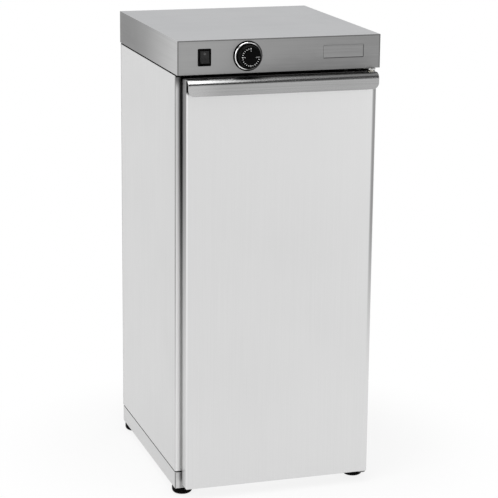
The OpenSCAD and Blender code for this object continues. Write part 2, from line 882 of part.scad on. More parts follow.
// Bright ring around the knob
module dial_ring() {
    color("white") place() translate([knob_x, 0, control_z]) rotate([90, 0, 0])
        rotate_extrude() polygon([[knob_d / 2 + knob_gap, dial_plate_t], [dial_ring_d / 2, dial_plate_t],
            [dial_ring_d / 2 - 0.6, dial_plate_t + dial_ring_t * 0.7],
            [knob_d / 2 + knob_gap + 0.6, dial_plate_t + dial_ring_t],
            [knob_d / 2 + knob_gap, dial_plate_t + dial_ring_t]]);
}

// Dark plate under the ring
module dial_plate() {
    color("black") place() translate([knob_x, 0, control_z]) rotate([90, 0, 0])
        difference() {
            cylinder(d = dial_plate_d, h = dial_plate_t);
            translate([0, 0, -cut])
                cylinder(d = shaft_bush_d + 2 * fit, h = dial_plate_t + 2 * cut);
        }
}

// Terminal block on the deck
module terminal_block() {
    color("ivory") place() translate([block_x, block_y, cover_z0]) difference() {
        cube(block);
        for (k = [1 : 4])
            translate([k * block[0] / 5, block[1] / 2, block[2] / 2])
                cylinder(d = screw_d, h = block[2]);
    }
}

// Cable gland in the rear of the cover
module cable_gland() {
    hex_l = 6;
    color("black") place() translate([gland_x, cover_d, gland_z]) difference() {
        union() {
            rotate([-90, 0, 0]) cylinder(d = gland_hex * 1.1, h = hex_l, $fn = 6);
            rod([0, 0, 0], gland_l, gland_hex - 2, 1);
            rod([0, -sheet - gland_nut_l - 2, 0], sheet + gland_nut_l + 2, gland_thread_d, 1);
        }
        rod([0, -sheet - gland_nut_l - 2 - cut, 0], gland_l + sheet + gland_nut_l + 2 + 2 * cut,
            gland_bore, 1);
    }
}

// Nut that holds the gland inside the cover
module gland_nut() {
    color("dimgray") place() translate([gland_x, cover_d - sheet - gland_nut_l, gland_z])
        rotate([-90, 0, 0]) difference() {
            cylinder(d = gland_hex * 1.1, h = gland_nut_l, $fn = 6);
            translate([0, 0, -cut])
                cylinder(d = gland_thread_d + 2 * fit, h = gland_nut_l + 2 * cut);
        }
}

// Wires from the terminal block to the switch, the thermostat and the element
module wiring() {
    switch_y = switch_body[1] + blade[1];
    thermostat_y = sheet + thermostat_l + blade[1];
    low = cover_z0 + 8;
    front = block_y;
    routes = [
        [[block_x + 12, front, low + 4], [block_x + 12, front - 20, low + 4], [-40, 260, low],
            [switch_x, 120, low], [switch_x, switch_y + 24, control_z - 9],
            [switch_x, switch_y, control_z - 9]],
        [[switch_x, switch_y, control_z], [switch_x, switch_y + 16, control_z],
            [switch_x + 30, switch_y + 40, control_z + 2],
            [knob_x + 4, thermostat_y + 22, control_z + 6],
            [knob_x + 4, thermostat_y, control_z + 6]],
        [[knob_x + 13, thermostat_y, control_z + 6],
            [knob_x + 13, thermostat_y + 20, control_z + 6], [0, 200, low + 6],
            [block_x + 24, front - 30, low + 4], [block_x + 24, front, low + 4]]
    ];
    lead_start = block_y + block[1];
    leads = [for (sx = [-1, 1]) concat(
        [[block_x + 42 + 6 * sx, lead_start, low + 4],
            [block_x + 42 + 6 * sx, lead_start + 5, low + 4]],
        sx > 0 ? [[lead_x, lead_start + 8, low + 6]]
            : [[block_x, lead_start + 12, low + 6], [-lead_x + 20, lead_start + 14, low + 6]],
        [[sx * lead_x, lead_y, low + 2],
            [sx * lead_x, lead_y, body_z1 - 8],
            [sx * lead_x, lead_y, body_z1 - 28],
            [sx * lead_x, lead_y, chamber_z0 + heater_z + 40],
            [sx * lead_x, lead_y, chamber_z0 + heater_z + heater_d / 2 + play]]
    )];
    color("firebrick") place() for (r = concat(routes, leads)) tube(smooth(r, 4), wire_d, 6);
}

// Rubber seal around the opening, standing back along the hinge edge
module door_seal() {
    w = 2 * seal_x1;
    h = seal_z1 - seal_z0;
    color("dimgray") place() difference() {
        upright(0, body_f, (seal_z0 + seal_z1) / 2, door_gap - play) difference() {
            round_rect(w, h, 6);
            square([w - 2 * seal_w, h - 2 * seal_w], center = true);
        }
        box([seal_step_x, door_b, seal_z0 - cut], [seal_x1 + cut, seal_step, seal_z1 + cut]);
        for (z = [-1, 1])
            translate([-seal_x1 + seal_w / 2, body_f, (door_z0 + door_z1) / 2 + z * magnet_l * 3])
                cube([magnet_w + 2 * play, 2 * (magnet_t + play), magnet_l + 2 * play], center = true);
    }
}

// Two magnets in the seal that hold the door shut
module door_magnets() {
    color("slategray") place() for (z = [-1, 1])
        translate([-seal_x1 + seal_w / 2, body_f - magnet_t / 2,
            (door_z0 + door_z1) / 2 + z * magnet_l * 3])
            cube([magnet_w, magnet_t, magnet_l], center = true);
}

// Outer door sheet, folded into a tray, with holes for the bushes and the rivets
module door_outer_skin() {
    color("gainsboro") place() difference() {
        box([-door_x, door_f, door_z0], [door_x, door_b, door_z1]);
        box([-door_x + sheet, door_f + sheet, door_z0 + sheet],
            [door_x - sheet, door_b + cut, door_z1 - sheet]);
        rod([hinge_x, hinge_y, door_z0 - cut], door_z1 - door_z0 + 2 * cut, bush_d + 2 * fit, 2);
        for (x = rivets_x)
            rod([x, rivet_y, door_z1 - sheet - cut], sheet + 2 * cut, rivet_d + 2 * fit, 2);
    }
}

// Inner door sheet inside the tray
module door_inner_panel() {
    color("whitesmoke") place()
        box([-door_x + sheet, door_b - sheet, door_z0 + sheet],
            [door_x - sheet, door_b, door_z1 - sheet]);
}

// Insulating core of the door, clear of the bushes and the rivets
module door_insulation() {
    color("khaki") place() difference() {
        box([-door_x + sheet, door_f + sheet, door_z0 + sheet],
            [door_x - sheet, door_b - sheet, door_z1 - sheet]);
        for (z = [door_z0, door_z1])
            rod([hinge_x, hinge_y, z - bush_l - cut], 2 * (bush_l + cut), bush_d + 2 * play, 2);
        for (x = rivets_x)
            rod([x, rivet_y, door_z1 - rivet_l - cut], rivet_l + cut, rivet_d + 2 * play, 2);
    }
}

// Profile of the handle: a seat on the door's top, a bend and a front plate
module handle_profile() {
    r = handle_bend_r;
    depth = door_f + handle_seat - handle_f;
    translate([r, -handle_t]) square([depth - r, handle_t]);
    translate([0, -handle_h]) square([handle_t, handle_h - r]);
    intersection() {
        translate([r, -r]) difference() {
            circle(r);
            circle(r - handle_t);
        }
        translate([0, -r]) square([r, r]);
    }
}

// Full-width handle with rounded lower corners
module door_handle() {
    color("silver") place() difference() {
        intersection() {
            translate([-door_x, handle_f, handle_top]) rotate([90, 0, 90])
                linear_extrude(2 * door_x) handle_profile();
            upright(0, door_b, handle_top, door_b - handle_f + cut) {
                round_rect(2 * door_x, 2 * handle_h, handle_corner_r);
                translate([-door_x, 0]) square([2 * door_x, handle_h]);
            }
        }
        for (x = rivets_x)
            rod([x, rivet_y, door_z1 - cut], handle_t + 2 * cut, rivet_d + 2 * fit, 2);
    }
}

// Rivets that hold the handle's seat on the door
module handle_rivets() {
    color("white") place() for (x = rivets_x) translate([x, rivet_y, handle_top])
        rotate([180, 0, 0]) {
            cylinder(d = rivet_d, h = rivet_l);
            translate([0, 0, -rivet_d / 4]) cylinder(d = 1.8 * rivet_d, h = rivet_d / 4);
        }
}

// Upper hinge plate under the cover's front lip
module upper_hinge_bracket() {
    l = upper_bracket_l;
    e = bracket_edge;
    color("white") place() translate([0, 0, cover_z0 - bracket_t]) difference() {
        union() {
            box([hinge_x - l, upper_plate_f, 0], [hinge_x + e, body_f - play, bracket_t]);
            box([hinge_x - e, hinge_y, 0], [hinge_x + e, body_f - play, bracket_t]);
            translate([hinge_x, hinge_y, 0]) cylinder(r = e, h = bracket_t);
        }
        rod([hinge_x, hinge_y, -cut], bracket_t + 2 * cut, pin_d + 2 * fit, 2);
        for (x = upper_screws_x)
            rod([x, upper_screw_y, -cut], bracket_t + 2 * cut, screw_d + 2 * fit, 2);
    }
}

// Lower hinge angle, screwed to the front of the base pan
module lower_hinge_bracket() {
    l = lower_bracket_l;
    e = bracket_edge;
    z1 = lower_bracket_z1;
    color("white") place() difference() {
        union() {
            box([hinge_x - e, hinge_y, z1 - bracket_t], [hinge_x + e, body_f, z1]);
            translate([hinge_x, hinge_y, z1 - bracket_t]) cylinder(r = e, h = bracket_t);
            box([hinge_x - l, body_f - bracket_t, z1 - bracket_t],
                [hinge_x + e, body_f, z1 + lower_leg_h - bracket_t]);
        }
        rod([hinge_x, hinge_y, z1 - bracket_t - cut], bracket_t + 2 * cut, pin_d + 2 * fit, 2);
        for (x = lower_screws_x)
            rod([x, body_f - bracket_t - cut, leg_screw_z], bracket_t + 2 * cut,
                screw_d + 2 * fit, 1);
    }
}

// Pins of the two hinge brackets
module hinge_pins() {
    color("gray") place() {
        rod([hinge_x, hinge_y, door_z1 - pin_grip], cover_z0 - door_z1 + pin_grip, pin_d, 2);
        rod([hinge_x, hinge_y, lower_bracket_z1 - bracket_t],
            door_z0 + pin_grip - lower_bracket_z1 + bracket_t, pin_d, 2);
    }
}

// One collared bush at the foot of the door, pointing up
module bush() {
    difference() {
        union() {
            cylinder(d = bush_d, h = bush_l);
            translate([0, 0, -bush_collar]) cylinder(d = bush_collar_d, h = bush_collar);
        }
        translate([0, 0, -bush_collar - cut])
            cylinder(d = pin_d + 2 * fit, h = bush_l + bush_collar + 2 * cut);
    }
}

// Collared bushes at the foot and the top of the door
module hinge_bushes() {
    color("ivory") place() {
        translate([hinge_x, hinge_y, door_z0]) bush();
        translate([hinge_x, hinge_y, door_z1]) mirror([0, 0, 1]) bush();
    }
}

// Washer that carries the door on the lower bracket
module hinge_washer() {
    color("silver") place() translate([hinge_x, hinge_y, lower_bracket_z1]) difference() {
        cylinder(d = bush_collar_d + 2, h = washer_t);
        translate([0, 0, -cut]) cylinder(d = pin_d + 2 * fit, h = washer_t + 2 * cut);
    }
}

// Screws of the two hinge brackets
module hinge_screws() {
    color("silver") place() {
        for (x = upper_screws_x)
            translate([x, upper_screw_y, cover_z0 - bracket_t])
                screw(screw_d, screw_head_d, screw_head_h, screw_l);
        for (x = lower_screws_x)
            translate([x, body_f - bracket_t, leg_screw_z]) rotate([-90, 0, 0])
                screw(screw_d, screw_head_d, screw_head_h, screw_l);
    }
}

// Screws of the rear panel and of the cover
module casing_screws() {
    color("silver") place() {
        for (sx = [-1, 1], z = rear_screws_z)
            translate([sx * rear_screw_x, body_b, z]) rotate([90, 0, 0])
                screw(screw_d, screw_head_d, screw_head_h, screw_l);
        for (x = lid_screws_x)
            translate([x, cover_d, lid_screw_z]) rotate([90, 0, 0])
                screw(screw_d, screw_head_d, screw_head_h, screw_l);
    }
}

base_pan();
foot_nuts();
foot_front_left();
foot_front_right();
foot_rear_left();
foot_rear_right();
left_side_panel();
right_side_panel();
front_top_rail();
front_bottom_rail();
rear_panel();
body_floor();
electrics_deck();
liner_left();
liner_right();
liner_rear();
liner_ceiling();
liner_floor();
side_insulation();
rear_insulation();
ceiling_insulation();
floor_insulation();
left_shelf_rails();
right_shelf_rails();
upper_shelf();
lower_shelf();
heating_element();
heater_stands();
heater_fittings();
heater_guard();
sensor_bulb();
bulb_clips();
capillary_tube();
top_cover();
badge_plate();
switch_housing();
switch_rocker();
thermostat_body();
thermostat_shaft();
thermostat_knob();
dial_ring();
dial_plate();
terminal_block();
cable_gland();
gland_nut();
wiring();
door_seal();
door_magnets();
door_outer_skin();
door_inner_panel();
door_insulation();
door_handle();
handle_rivets();
upper_hinge_bracket();
lower_hinge_bracket();
hinge_pins();
hinge_bushes();
hinge_washer();
hinge_screws();
casing_screws();
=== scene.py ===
# %% [markdown]
# # A food holding cabinet
#
# This lesson dresses a imported CAD model of a heated stainless cupboard until it looks like a studio
# photograph of one. The CAD nodes are the frame. They never move, and every new piece either stands for a
# node or rides on the same body as one, so the door, the dial and the shelves still work afterwards.
#
# The imported model is loaded first, and each node's mesh is moved into its world place.

# %% Load the frame
import math

import bmesh
import bpy
import numpy as np
from mathutils import Matrix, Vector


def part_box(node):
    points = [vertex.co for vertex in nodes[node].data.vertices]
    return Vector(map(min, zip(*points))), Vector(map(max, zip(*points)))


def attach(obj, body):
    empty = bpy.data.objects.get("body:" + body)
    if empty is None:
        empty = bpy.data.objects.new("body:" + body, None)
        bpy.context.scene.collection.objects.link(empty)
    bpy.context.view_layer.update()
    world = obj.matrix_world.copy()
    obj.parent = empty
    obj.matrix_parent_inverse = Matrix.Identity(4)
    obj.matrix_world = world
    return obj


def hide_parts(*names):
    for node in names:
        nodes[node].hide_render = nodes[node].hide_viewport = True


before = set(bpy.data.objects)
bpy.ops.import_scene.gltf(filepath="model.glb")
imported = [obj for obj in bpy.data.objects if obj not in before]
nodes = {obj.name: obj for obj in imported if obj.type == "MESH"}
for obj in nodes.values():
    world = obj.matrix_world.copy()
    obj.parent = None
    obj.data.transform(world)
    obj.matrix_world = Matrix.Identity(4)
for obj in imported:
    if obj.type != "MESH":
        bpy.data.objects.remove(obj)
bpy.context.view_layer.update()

scene = bpy.context.scene
MM = 0.001


def corners(name):
    """Lowest and highest corner of a CAD node, in metres."""
    return [np.array(corner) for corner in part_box(name)]


def span(name):
    """Lowest and highest corner of a CAD node, in millimetres."""
    return [corner / MM for corner in corners(name)]


# %% [markdown]
# ## Camera
#
# A product photograph is usually taken with a long lens from a few metres away. The camera's place was
# worked out from the corners of the cover and the foot of the casing. It could be aimed with a constraint,
# but a matrix made from three axes says exactly where it stands, and also holds the small roll.

# %% Camera
AZIMUTH, ELEVATION, ROLL = np.radians([-17.707, 14.442, 0.568])
AWAY, ACROSS, RAISED = 3.9924, 0.0140, 0.4254
FOCAL_PIXELS, FRAME_PIXELS, SENSOR = 1912.5, 498, 36.0


def standing(side, rise, away, place):
    """Matrix of an object: its three axes and its place are the columns."""
    return Matrix([[*row] for row in np.column_stack([side, rise, away, place])] + [[0, 0, 0, 1]])


back = np.array([math.sin(AZIMUTH) * math.cos(ELEVATION), -math.cos(AZIMUTH) * math.cos(ELEVATION),
                 math.sin(ELEVATION)])
level = np.array([math.cos(AZIMUTH), math.sin(AZIMUTH), 0.0])
upright = np.cross(back, level)
right = math.cos(ROLL) * level + math.sin(ROLL) * upright
up = math.cos(ROLL) * upright - math.sin(ROLL) * level
place = back * AWAY + right * ACROSS + up * RAISED

camera = bpy.data.objects.new("camera", bpy.data.cameras.new("camera"))
scene.collection.objects.link(camera)
camera.data.sensor_width = SENSOR
camera.data.lens = SENSOR * FOCAL_PIXELS / FRAME_PIXELS
camera.matrix_world = standing(right, up, back, place)
bpy.context.scene.camera = camera
print("lens in mm:", round(camera.data.lens, 1), "camera at", np.round(place, 3))

# %% [markdown]
# ## Shader nodes as arithmetic
#
# The room, the floor and every finish are networks of shader nodes. They could be wired by hand in the
# node editor, but a network that is written as arithmetic can be read and changed like a formula. The
# first helper adds a node to a tree. Each of the others takes the outputs of nodes, adds a node that works
# on them and hands back its output. An output knows which tree it belongs to.

# %% Shader helpers


def node_of(tree, kind, **settings):
    """A new shader node; a setting whose name is a socket's sets that socket's own value."""
    made = tree.nodes.new("ShaderNode" + kind)
    for key, value in settings.items():
        socket = key.replace("_", " ")
        if socket in made.inputs:
            made.inputs[socket].default_value = value
        else:
            setattr(made, key, value)
    return made


def maths(operation, *values, **settings):
    """Result of a Math node on one or two values; the settings go to the node."""
    tree = values[0].id_data
    made = node_of(tree, "Math", operation=operation, **settings)
    for value, socket in zip(values, made.inputs):
        tree.links.new(value, socket)
    return made.outputs[0]


def sums(*terms):
    """Adds several 0-to-1 values and keeps the result under 1."""
    total = terms[0]
    for term in terms[1:]:
        total = maths("ADD", total, term, use_clamp=True)
    return total


def times(*factors):
    """Product of several values."""
    product = factors[0]
    for factor in factors[1:]:
        product = maths("MULTIPLY", product, factor)
    return product


def size_of(value):
    """Value without its sign."""
    return maths("ABSOLUTE", value)


def ramp(value, low, high, start=0.0, end=1.0):
    """Maps a value smoothly from the range low..high to start..end."""
    tree = value.id_data
    made = node_of(tree, "MapRange", interpolation_type="SMOOTHSTEP", From_Min=low, From_Max=high,
                   To_Min=start, To_Max=end)
    tree.links.new(value, made.inputs["Value"])
    return made.outputs["Result"]


def below(value, low, high):
    """1 under low, 0 over high, and smooth between them."""
    return ramp(value, low, high, 1.0, 0.0)


print("shader helpers:", ", ".join(helper.__name__ for helper in (sums, times, size_of, ramp, below)))

# %% [markdown]
# ## Room
#
# The photograph has a clean white ground. White paper lit until it clips would also flood the cabinet with
# light, so the room is white by its own glow instead, but only for rays from the camera, from a shiny
# surface or through glass. Other rays meet a plain, dimmer room. In mirrors, the room behind the camera is
# dark at eye level, and the ceiling is dimmer. Polished bends need that dark band, because metal shows its
# shape only through what it mirrors.

# %% Room
ROOM_LIGHT, ROOM_DARK, CEILING = 0.55, 0.10, 0.45
SEEN_RAYS = "Is Camera Ray", "Is Glossy Ray", "Is Transmission Ray"
WHITE = (1, 1, 1, 1)


def bare_tree(owner):
    """Empty shader tree of a world or a material."""
    owner.use_nodes = True
    owner.node_tree.nodes.clear()
    return owner.node_tree


def two_surfaces(share, plain, glow, output):
    """Mixes a plain shader with a glowing one, by the glow's share, and gives both to the tree's output."""
    tree = share.id_data
    mix = node_of(tree, "MixShader")
    tree.links.new(share, mix.inputs["Fac"])
    tree.links.new(plain.outputs[0], mix.inputs[1])
    tree.links.new(glow.outputs[0], mix.inputs[2])
    tree.links.new(mix.outputs[0], node_of(tree, output).inputs["Surface"])


scene.view_settings.view_transform = "Standard"
scene.world = bpy.data.worlds.new("studio")
tree = bare_tree(scene.world)
path, way = node_of(tree, "LightPath"), node_of(tree, "SeparateXYZ")
tree.links.new(node_of(tree, "TexCoord").outputs["Generated"], way.inputs[0])
height, mirrored = way.outputs["Z"], path.outputs["Is Glossy Ray"]
band = times(ramp(height, 0.14, 0.24), below(height, 0.72, 0.90), below(way.outputs["Y"], -0.45, -0.10),
             mirrored)
ceiling = times(ramp(height, 0.60, 0.85), mirrored)
glow = node_of(tree, "Background", Color=WHITE)
tree.links.new(times(ramp(band, 0.0, 1.0, 1.0, ROOM_DARK), ramp(ceiling, 0.0, 1.0, 1.0, CEILING)),
               glow.inputs["Strength"])
plain = node_of(tree, "Background", Color=WHITE, Strength=ROOM_LIGHT)
two_surfaces(sums(*(path.outputs[ray] for ray in SEEN_RAYS)), plain, glow, "OutputWorld")
print("room:", len(tree.nodes), "nodes")

# %% [markdown]
# ## Floor
#
# The floor is one wide sheet of white paper. A curved backdrop would do as well, but with a white room
# nothing shows where the floor ends. Like the room it is white by its own glow. Close to the cabinet the
# glow gives way a little to plain paper, which catches the cabinet's shadow round the feet.

# %% Floor
FLOOR_HALF = 40.0
SHADOW_NEAR, SHADOW_FAR, SHADOW_SHARE = 0.28, 0.60, 0.84
PAPER = (0.9, 0.9, 0.9, 1)

mesh = bpy.data.meshes.new("floor")
square = [(x * FLOOR_HALF, y * FLOOR_HALF, 0) for x, y in ((-1, -1), (1, -1), (1, 1), (-1, 1))]
mesh.from_pydata(square, [], [(0, 1, 2, 3)])
floor = bpy.data.objects.new("floor", mesh)
scene.collection.objects.link(floor)
ground = bpy.data.materials.new("studio_paper")
mesh.materials.append(ground)
tree = bare_tree(ground)
path, far = node_of(tree, "LightPath"), node_of(tree, "VectorMath", operation="LENGTH")
tree.links.new(node_of(tree, "TexCoord").outputs["Object"], far.inputs[0])
share = times(sums(*(path.outputs[ray] for ray in SEEN_RAYS)),
              ramp(far.outputs["Value"], SHADOW_NEAR, SHADOW_FAR, SHADOW_SHARE, 1.0))
paper, glow = node_of(tree, "BsdfDiffuse", Color=PAPER), node_of(tree, "Emission", Color=WHITE, Strength=1.0)
two_surfaces(share, paper, glow, "OutputMaterial")
print("floor:", 2 * FLOOR_HALF, "m wide, shadow as far as", SHADOW_FAR, "m from its middle")

# %% [markdown]
# ## Lamps
#
# Three soft boxes light the cabinet. The one overhead is close, because the bright line along the handle's
# bend is its mirror image. The one on the left lights the side panel, and the one on the right fills the
# door. Point lamps would give hard shadows and small highlights, so all three are area lamps. Each is set
# up from the place where it stands and the place that it faces.

# %% Lamps
LAMPS = {
    "lamp_overhead": ((-0.25, -0.65, 1.95), (-0.256, -0.60, 0.8), 14, 1.0, 1.5),
    "lamp_left": ((-2.6, -1.6, 1.9), (0, 0, 0.5), 30, 1.6, 1.6),
    "lamp_right": ((2.4, -2.6, 1.8), (0, 0, 0.5), 16, 1.6, 1.6),
}


def softbox(name, at, aim, watts, width, length):
    """An area lamp of a width and a length in metres, at one point and facing another."""
    lamp = bpy.data.objects.new(name, bpy.data.lights.new(name, "AREA"))
    scene.collection.objects.link(lamp)
    lamp.data.shape, lamp.data.energy = "RECTANGLE", watts
    lamp.data.size, lamp.data.size_y = width, length
    away = np.subtract(at, aim)
    away /= np.linalg.norm(away)
    across = np.cross((0.0, 0.0, 1.0), away)
    across /= np.linalg.norm(across)
    lamp.matrix_world = standing(across, np.cross(away, across), away, at)
    lamp.visible_camera = False


for name, values in LAMPS.items():
    softbox(name, *values)
print("lamps:", ", ".join(LAMPS))

# %% [markdown]
# ## Tones and finishes
#
# A colour is written down as it looks in a picture, from 0 to 255, so that it can be compared with a
# photograph. A shader works in linear light, so each tone is changed before it goes in. A finish starts as
# one shader. What is even all over it sits on the shader's own sockets, and what varies is linked in
# later.

# %% Tones and finishes
MIX_START, MIX_END, MIX_RESULT = 6, 7, 2
finishes = {}


def tone(picture):
    """Linear colour of a grey or a triple from 0 to 255: ((c / 255 + 0.055) / 1.055) to the power 2.4."""
    c = np.broadcast_to(np.asarray(picture, float) / 255, 3)
    return tuple(np.where(c > 0.04045, ((c + 0.055) / 1.055) ** 2.4, c / 12.92).tolist())


def finish(name, colour, roughness, metallic=0.0, **sockets):
    """A material whose constant values sit on its shader's own sockets."""
    made = bpy.data.materials.new(name)
    made.use_nodes = True
    shader = made.node_tree.nodes["Principled BSDF"]
    values = {"Base Color": (*tone(colour), 1), "Roughness": roughness, "Metallic": metallic}
    values.update({key.replace("_", " "): value for key, value in sockets.items()})
    for socket, value in values.items():
        shader.inputs[socket].default_value = value
    return made


def into(made, source, socket):
    """Links a value to a socket of the material's shader."""
    made.node_tree.links.new(source, made.node_tree.nodes["Principled BSDF"].inputs[socket])


def between(share, start, end):
    """Colour between two others, by a share of the second; each is a tone or another node's output."""
    tree = share.id_data
    mix = node_of(tree, "Mix", data_type="RGBA")
    tree.links.new(share, mix.inputs[0])
    for socket, colour in ((mix.inputs[MIX_START], start), (mix.inputs[MIX_END], end)):
        if isinstance(colour, bpy.types.NodeSocket):
            tree.links.new(colour, socket)
        else:
            socket.default_value = (*tone(colour), 1)
    return mix.outputs[MIX_RESULT]


print("tone 128 in linear light:", round(tone(128)[0], 3))

# %% [markdown]
# ## Grain, relief and place
#
# Metal and plastic are never quite even. An image of their grain would tile and blur, so it is noise in
# the piece's own Object coordinates, which move with the piece. Other shade depends on where a point lies:
# corners and seams get little light. A helper gives a point's place and the way it faces for that, and
# another says where beside an edge of a CAD node the shade begins and ends.

# %% Grain, relief and place
NOISE_LOW, NOISE_HIGH = 0.3, 0.7


def grain(made, cells, detail=3.0, turn=(0, 0, 0)):
    """Noise from 0 to 1 in Object coordinates, with that many cells in a metre along X, Y and Z."""
    tree = made.node_tree
    lay = node_of(tree, "Mapping", Scale=cells, Rotation=turn)
    noise = node_of(tree, "TexNoise", Scale=1.0, Detail=detail, Roughness=0.6)
    tree.links.new(node_of(tree, "TexCoord").outputs["Object"], lay.inputs["Vector"])
    tree.links.new(lay.outputs["Vector"], noise.inputs["Vector"])
    return noise.outputs["Fac"]


def spread(noise, start=0.0, end=1.0):
    """Stretches noise, which seldom leaves its middle range, over start..end."""
    return ramp(noise, NOISE_LOW, NOISE_HIGH, start, end)


def relief(made, source, depth):
    """Bump of a depth in millimetres."""
    tree = made.node_tree
    bump = node_of(tree, "Bump", Strength=1.0, Distance=depth * MM)
    tree.links.new(source, bump.inputs["Height"])
    into(made, bump.outputs["Normal"], "Normal")


def lie(made):
    """Place and facing of a surface point in Object coordinates, each as three values."""
    tree = made.node_tree
    coordinates = node_of(tree, "TexCoord")
    spot, facing = node_of(tree, "SeparateXYZ"), node_of(tree, "SeparateXYZ")
    tree.links.new(coordinates.outputs["Object"], spot.inputs[0])
    tree.links.new(coordinates.outputs["Normal"], facing.inputs[0])
    return spot.outputs, facing.outputs


def near(edge, start, end):
    """Two places in metres beside an edge, at distances in millimetres."""
    return edge + start * MM, edge + end * MM


print("one millimetre to either side of an edge at 0.5 m:", near(0.5, -1, 1))

# %% [markdown]
# ## Finish: ground steel
#
# The casing is stainless sheet that was ground with a belt. Close up it has fine parallel lines, and from
# a step away it is a soft, even grey with faint streaks. An anisotropic shader could draw out its
# highlights, but the lines themselves would be missing. So they are noise, stretched a hundred times along
# the grinding, and finer noise of the same kind varies the roughness and raises a very low relief.

# %% Ground steel
UPRIGHT_LINES, LEVEL_LINES, DEEP_LINES = (420, 420, 4), (4, 4, 420), (4, 420, 4)
SCRATCH = 0.0015


def ground_steel(name, dark, light, lines, smooth, rough, shade=None, **sockets):
    """Stainless sheet: streaks between two tones, finer lines in roughness and relief.

    A shade function may paint light and shade into the streaked colour before it goes to the shader."""
    steel = finish(name, light, smooth, 1.0, **sockets)
    streaks = grain(steel, lines, 4.0)
    scratches = grain(steel, [5 * cells for cells in lines], 2.0)
    clouds = grain(steel, (5, 5, 5), 2.0)
    colour = between(sums(spread(streaks, 0, 0.6), spread(clouds, 0, 0.4)), dark, light)
    into(steel, shade(steel, colour) if shade else colour, "Base Color")
    into(steel, ramp(scratches, 0.25, 0.75, smooth, rough), "Roughness")
    relief(steel, scratches, SCRATCH)
    return steel


finishes["stainless_lining"] = ground_steel("lining_steel", 190, 206, UPRIGHT_LINES, 0.26, 0.40)
finishes["galvanised_sheet"] = ground_steel("plain_sheet", 52, 72, (60, 60, 60), 0.45, 0.60)
print("plain steels:", ", ".join(finishes))

# %% [markdown]
# ## Finish: the casing
#
# Side panels, base and front edge are one kind of sheet, ground upright. The finish paints shade along its
# folds, and paints the front lighter low down and darker towards the cover. Next to the seal and under the
# cover there is hardly any light, and the seams are black. Soft shadows alone leave such narrow gaps too
# pale at this picture size, so the finish paints shade into them by place and facing.

# %% Casing steel
base_top, casing_top = corners("base_pan")[1][2], corners("left_side_panel")[1][2]
door_low, door_high = corners("door_outer_skin")


def front_of(facing):
    """1 on surfaces that face the front."""
    return below(facing["Y"], -0.98, -0.90)


def casing_shade(steel, colour):
    """Painted light and shade: dark folds, a lighter low front, shade by the seal, door, cover and seams."""
    spot, facing = lie(steel)
    height, aside, front = spot["Z"], size_of(spot["X"]), front_of(facing)
    base = below(height, *near(base_top, -1, 1))
    # Painted light: the front is lighter low down and darker towards the cover.
    colour = between(times(front, ramp(height, 0.40, 0.80, 0.9, 0.3)), colour, 240)
    colour = between(base, colour, between(front, 206, 204))
    # Painted shade along the upright folds.
    fold = ramp(times(size_of(facing["X"]), size_of(facing["Y"])), 0.12, 0.45)
    fold_share = sums(ramp(height, 0.12, 0.50, 0.15, 0.85), ramp(base, 0.0, 1.0, 0.0, 0.7))
    colour = between(times(fold, fold_share), colour, 110)
    # Painted shade by the seal, beside the door, under the cover and in the seams.
    by_seal = times(front, below(aside, *near(door_high[0], 1, 7)), ramp(height, 0.40, 0.82, 0.0, 0.9))
    colour = between(by_seal, colour, 70)
    by_door = times(front, base, below(aside, *near(door_high[0], 0.5, 4)))
    colour = between(by_door, colour, 150)
    colour = between(times(front, ramp(height, *near(casing_top, -28, -6), 0.0, 0.75)), colour, 64)
    corner = times(ramp(height, *near(casing_top, -22, -8)), below(aside, *near(door_high[0], -1.5, 2.5)))
    under = times(front, sums(corner, ramp(height, *near(casing_top, -5.5, -3))))
    colour = between(under, colour, 12)
    seam = times(ramp(size_of(facing["Z"]), 0.80, 0.97), ramp(height, *near(base_top, -15, -5)))
    return between(seam, colour, 10)


casing_steel = ground_steel("casing_steel", 209, 215, UPRIGHT_LINES, 0.30, 0.38, casing_shade)
finishes["stainless_casing"] = casing_steel
print("casing steel:", len(casing_steel.node_tree.nodes), "nodes")

# %% [markdown]
# ## Finish: the door and its handle
#
# The door is the same sheet a shade lighter. Its finish paints a highlight along the left fold, shade on its
# walls towards the top and along its right edge, a front lighter towards the top, and shade behind the
# handle, where little light gets in. The handle is polished along its length. Its bend mirrors the lamp
# overhead, the cover and the knob. Rough metal blurs the knob's image away, so the finish paints it in as a
# dark reflection, and it also paints the handle's left end lighter and its flat top darker.

# %% Door and handle steel
handle_low = corners("door_handle")[0]
knob_x = sum(corner[0] for corner in corners("thermostat_knob")) / 2


def door_shade(steel, colour):
    """Painted shade on walls, right edge and behind the handle, and a painted highlight on the left fold."""
    spot, facing = lie(steel)
    height, front = spot["Z"], front_of(facing)
    # The front is lighter towards the top; painted shade darkens the walls towards the top.
    colour = between(times(front, ramp(height, 0.40, 0.80, 0.0, 0.5)), colour, 226)
    wall = ramp(size_of(facing["X"]), 0.80, 0.98)
    colour = between(wall, colour, between(ramp(height, 0.15, 0.80), 228, 147))
    # Painted shade along the right edge.
    edge = times(ramp(spot["X"], *near(door_high[0], -9, -5)), ramp(height, 0.20, 0.60), front)
    colour = between(edge, colour, 150)
    # Painted highlight along the left fold and the rim beside it.
    fold = times(below(facing["X"], -0.95, -0.6), below(facing["Y"], -0.6, -0.2))
    rim = times(front, below(spot["X"], *near(door_low[0], 1.2, 3.2)))
    colour = between(times(sums(fold, rim), ramp(height, 0.05, 0.45, 0.3, 1.0)), colour, 252)
    # Painted shade behind the handle, where little light gets in.
    behind = times(ramp(height, *near(handle_low[2], 1, 8)), below(facing["Y"], -0.40, -0.15))
    return between(behind, colour, 14)


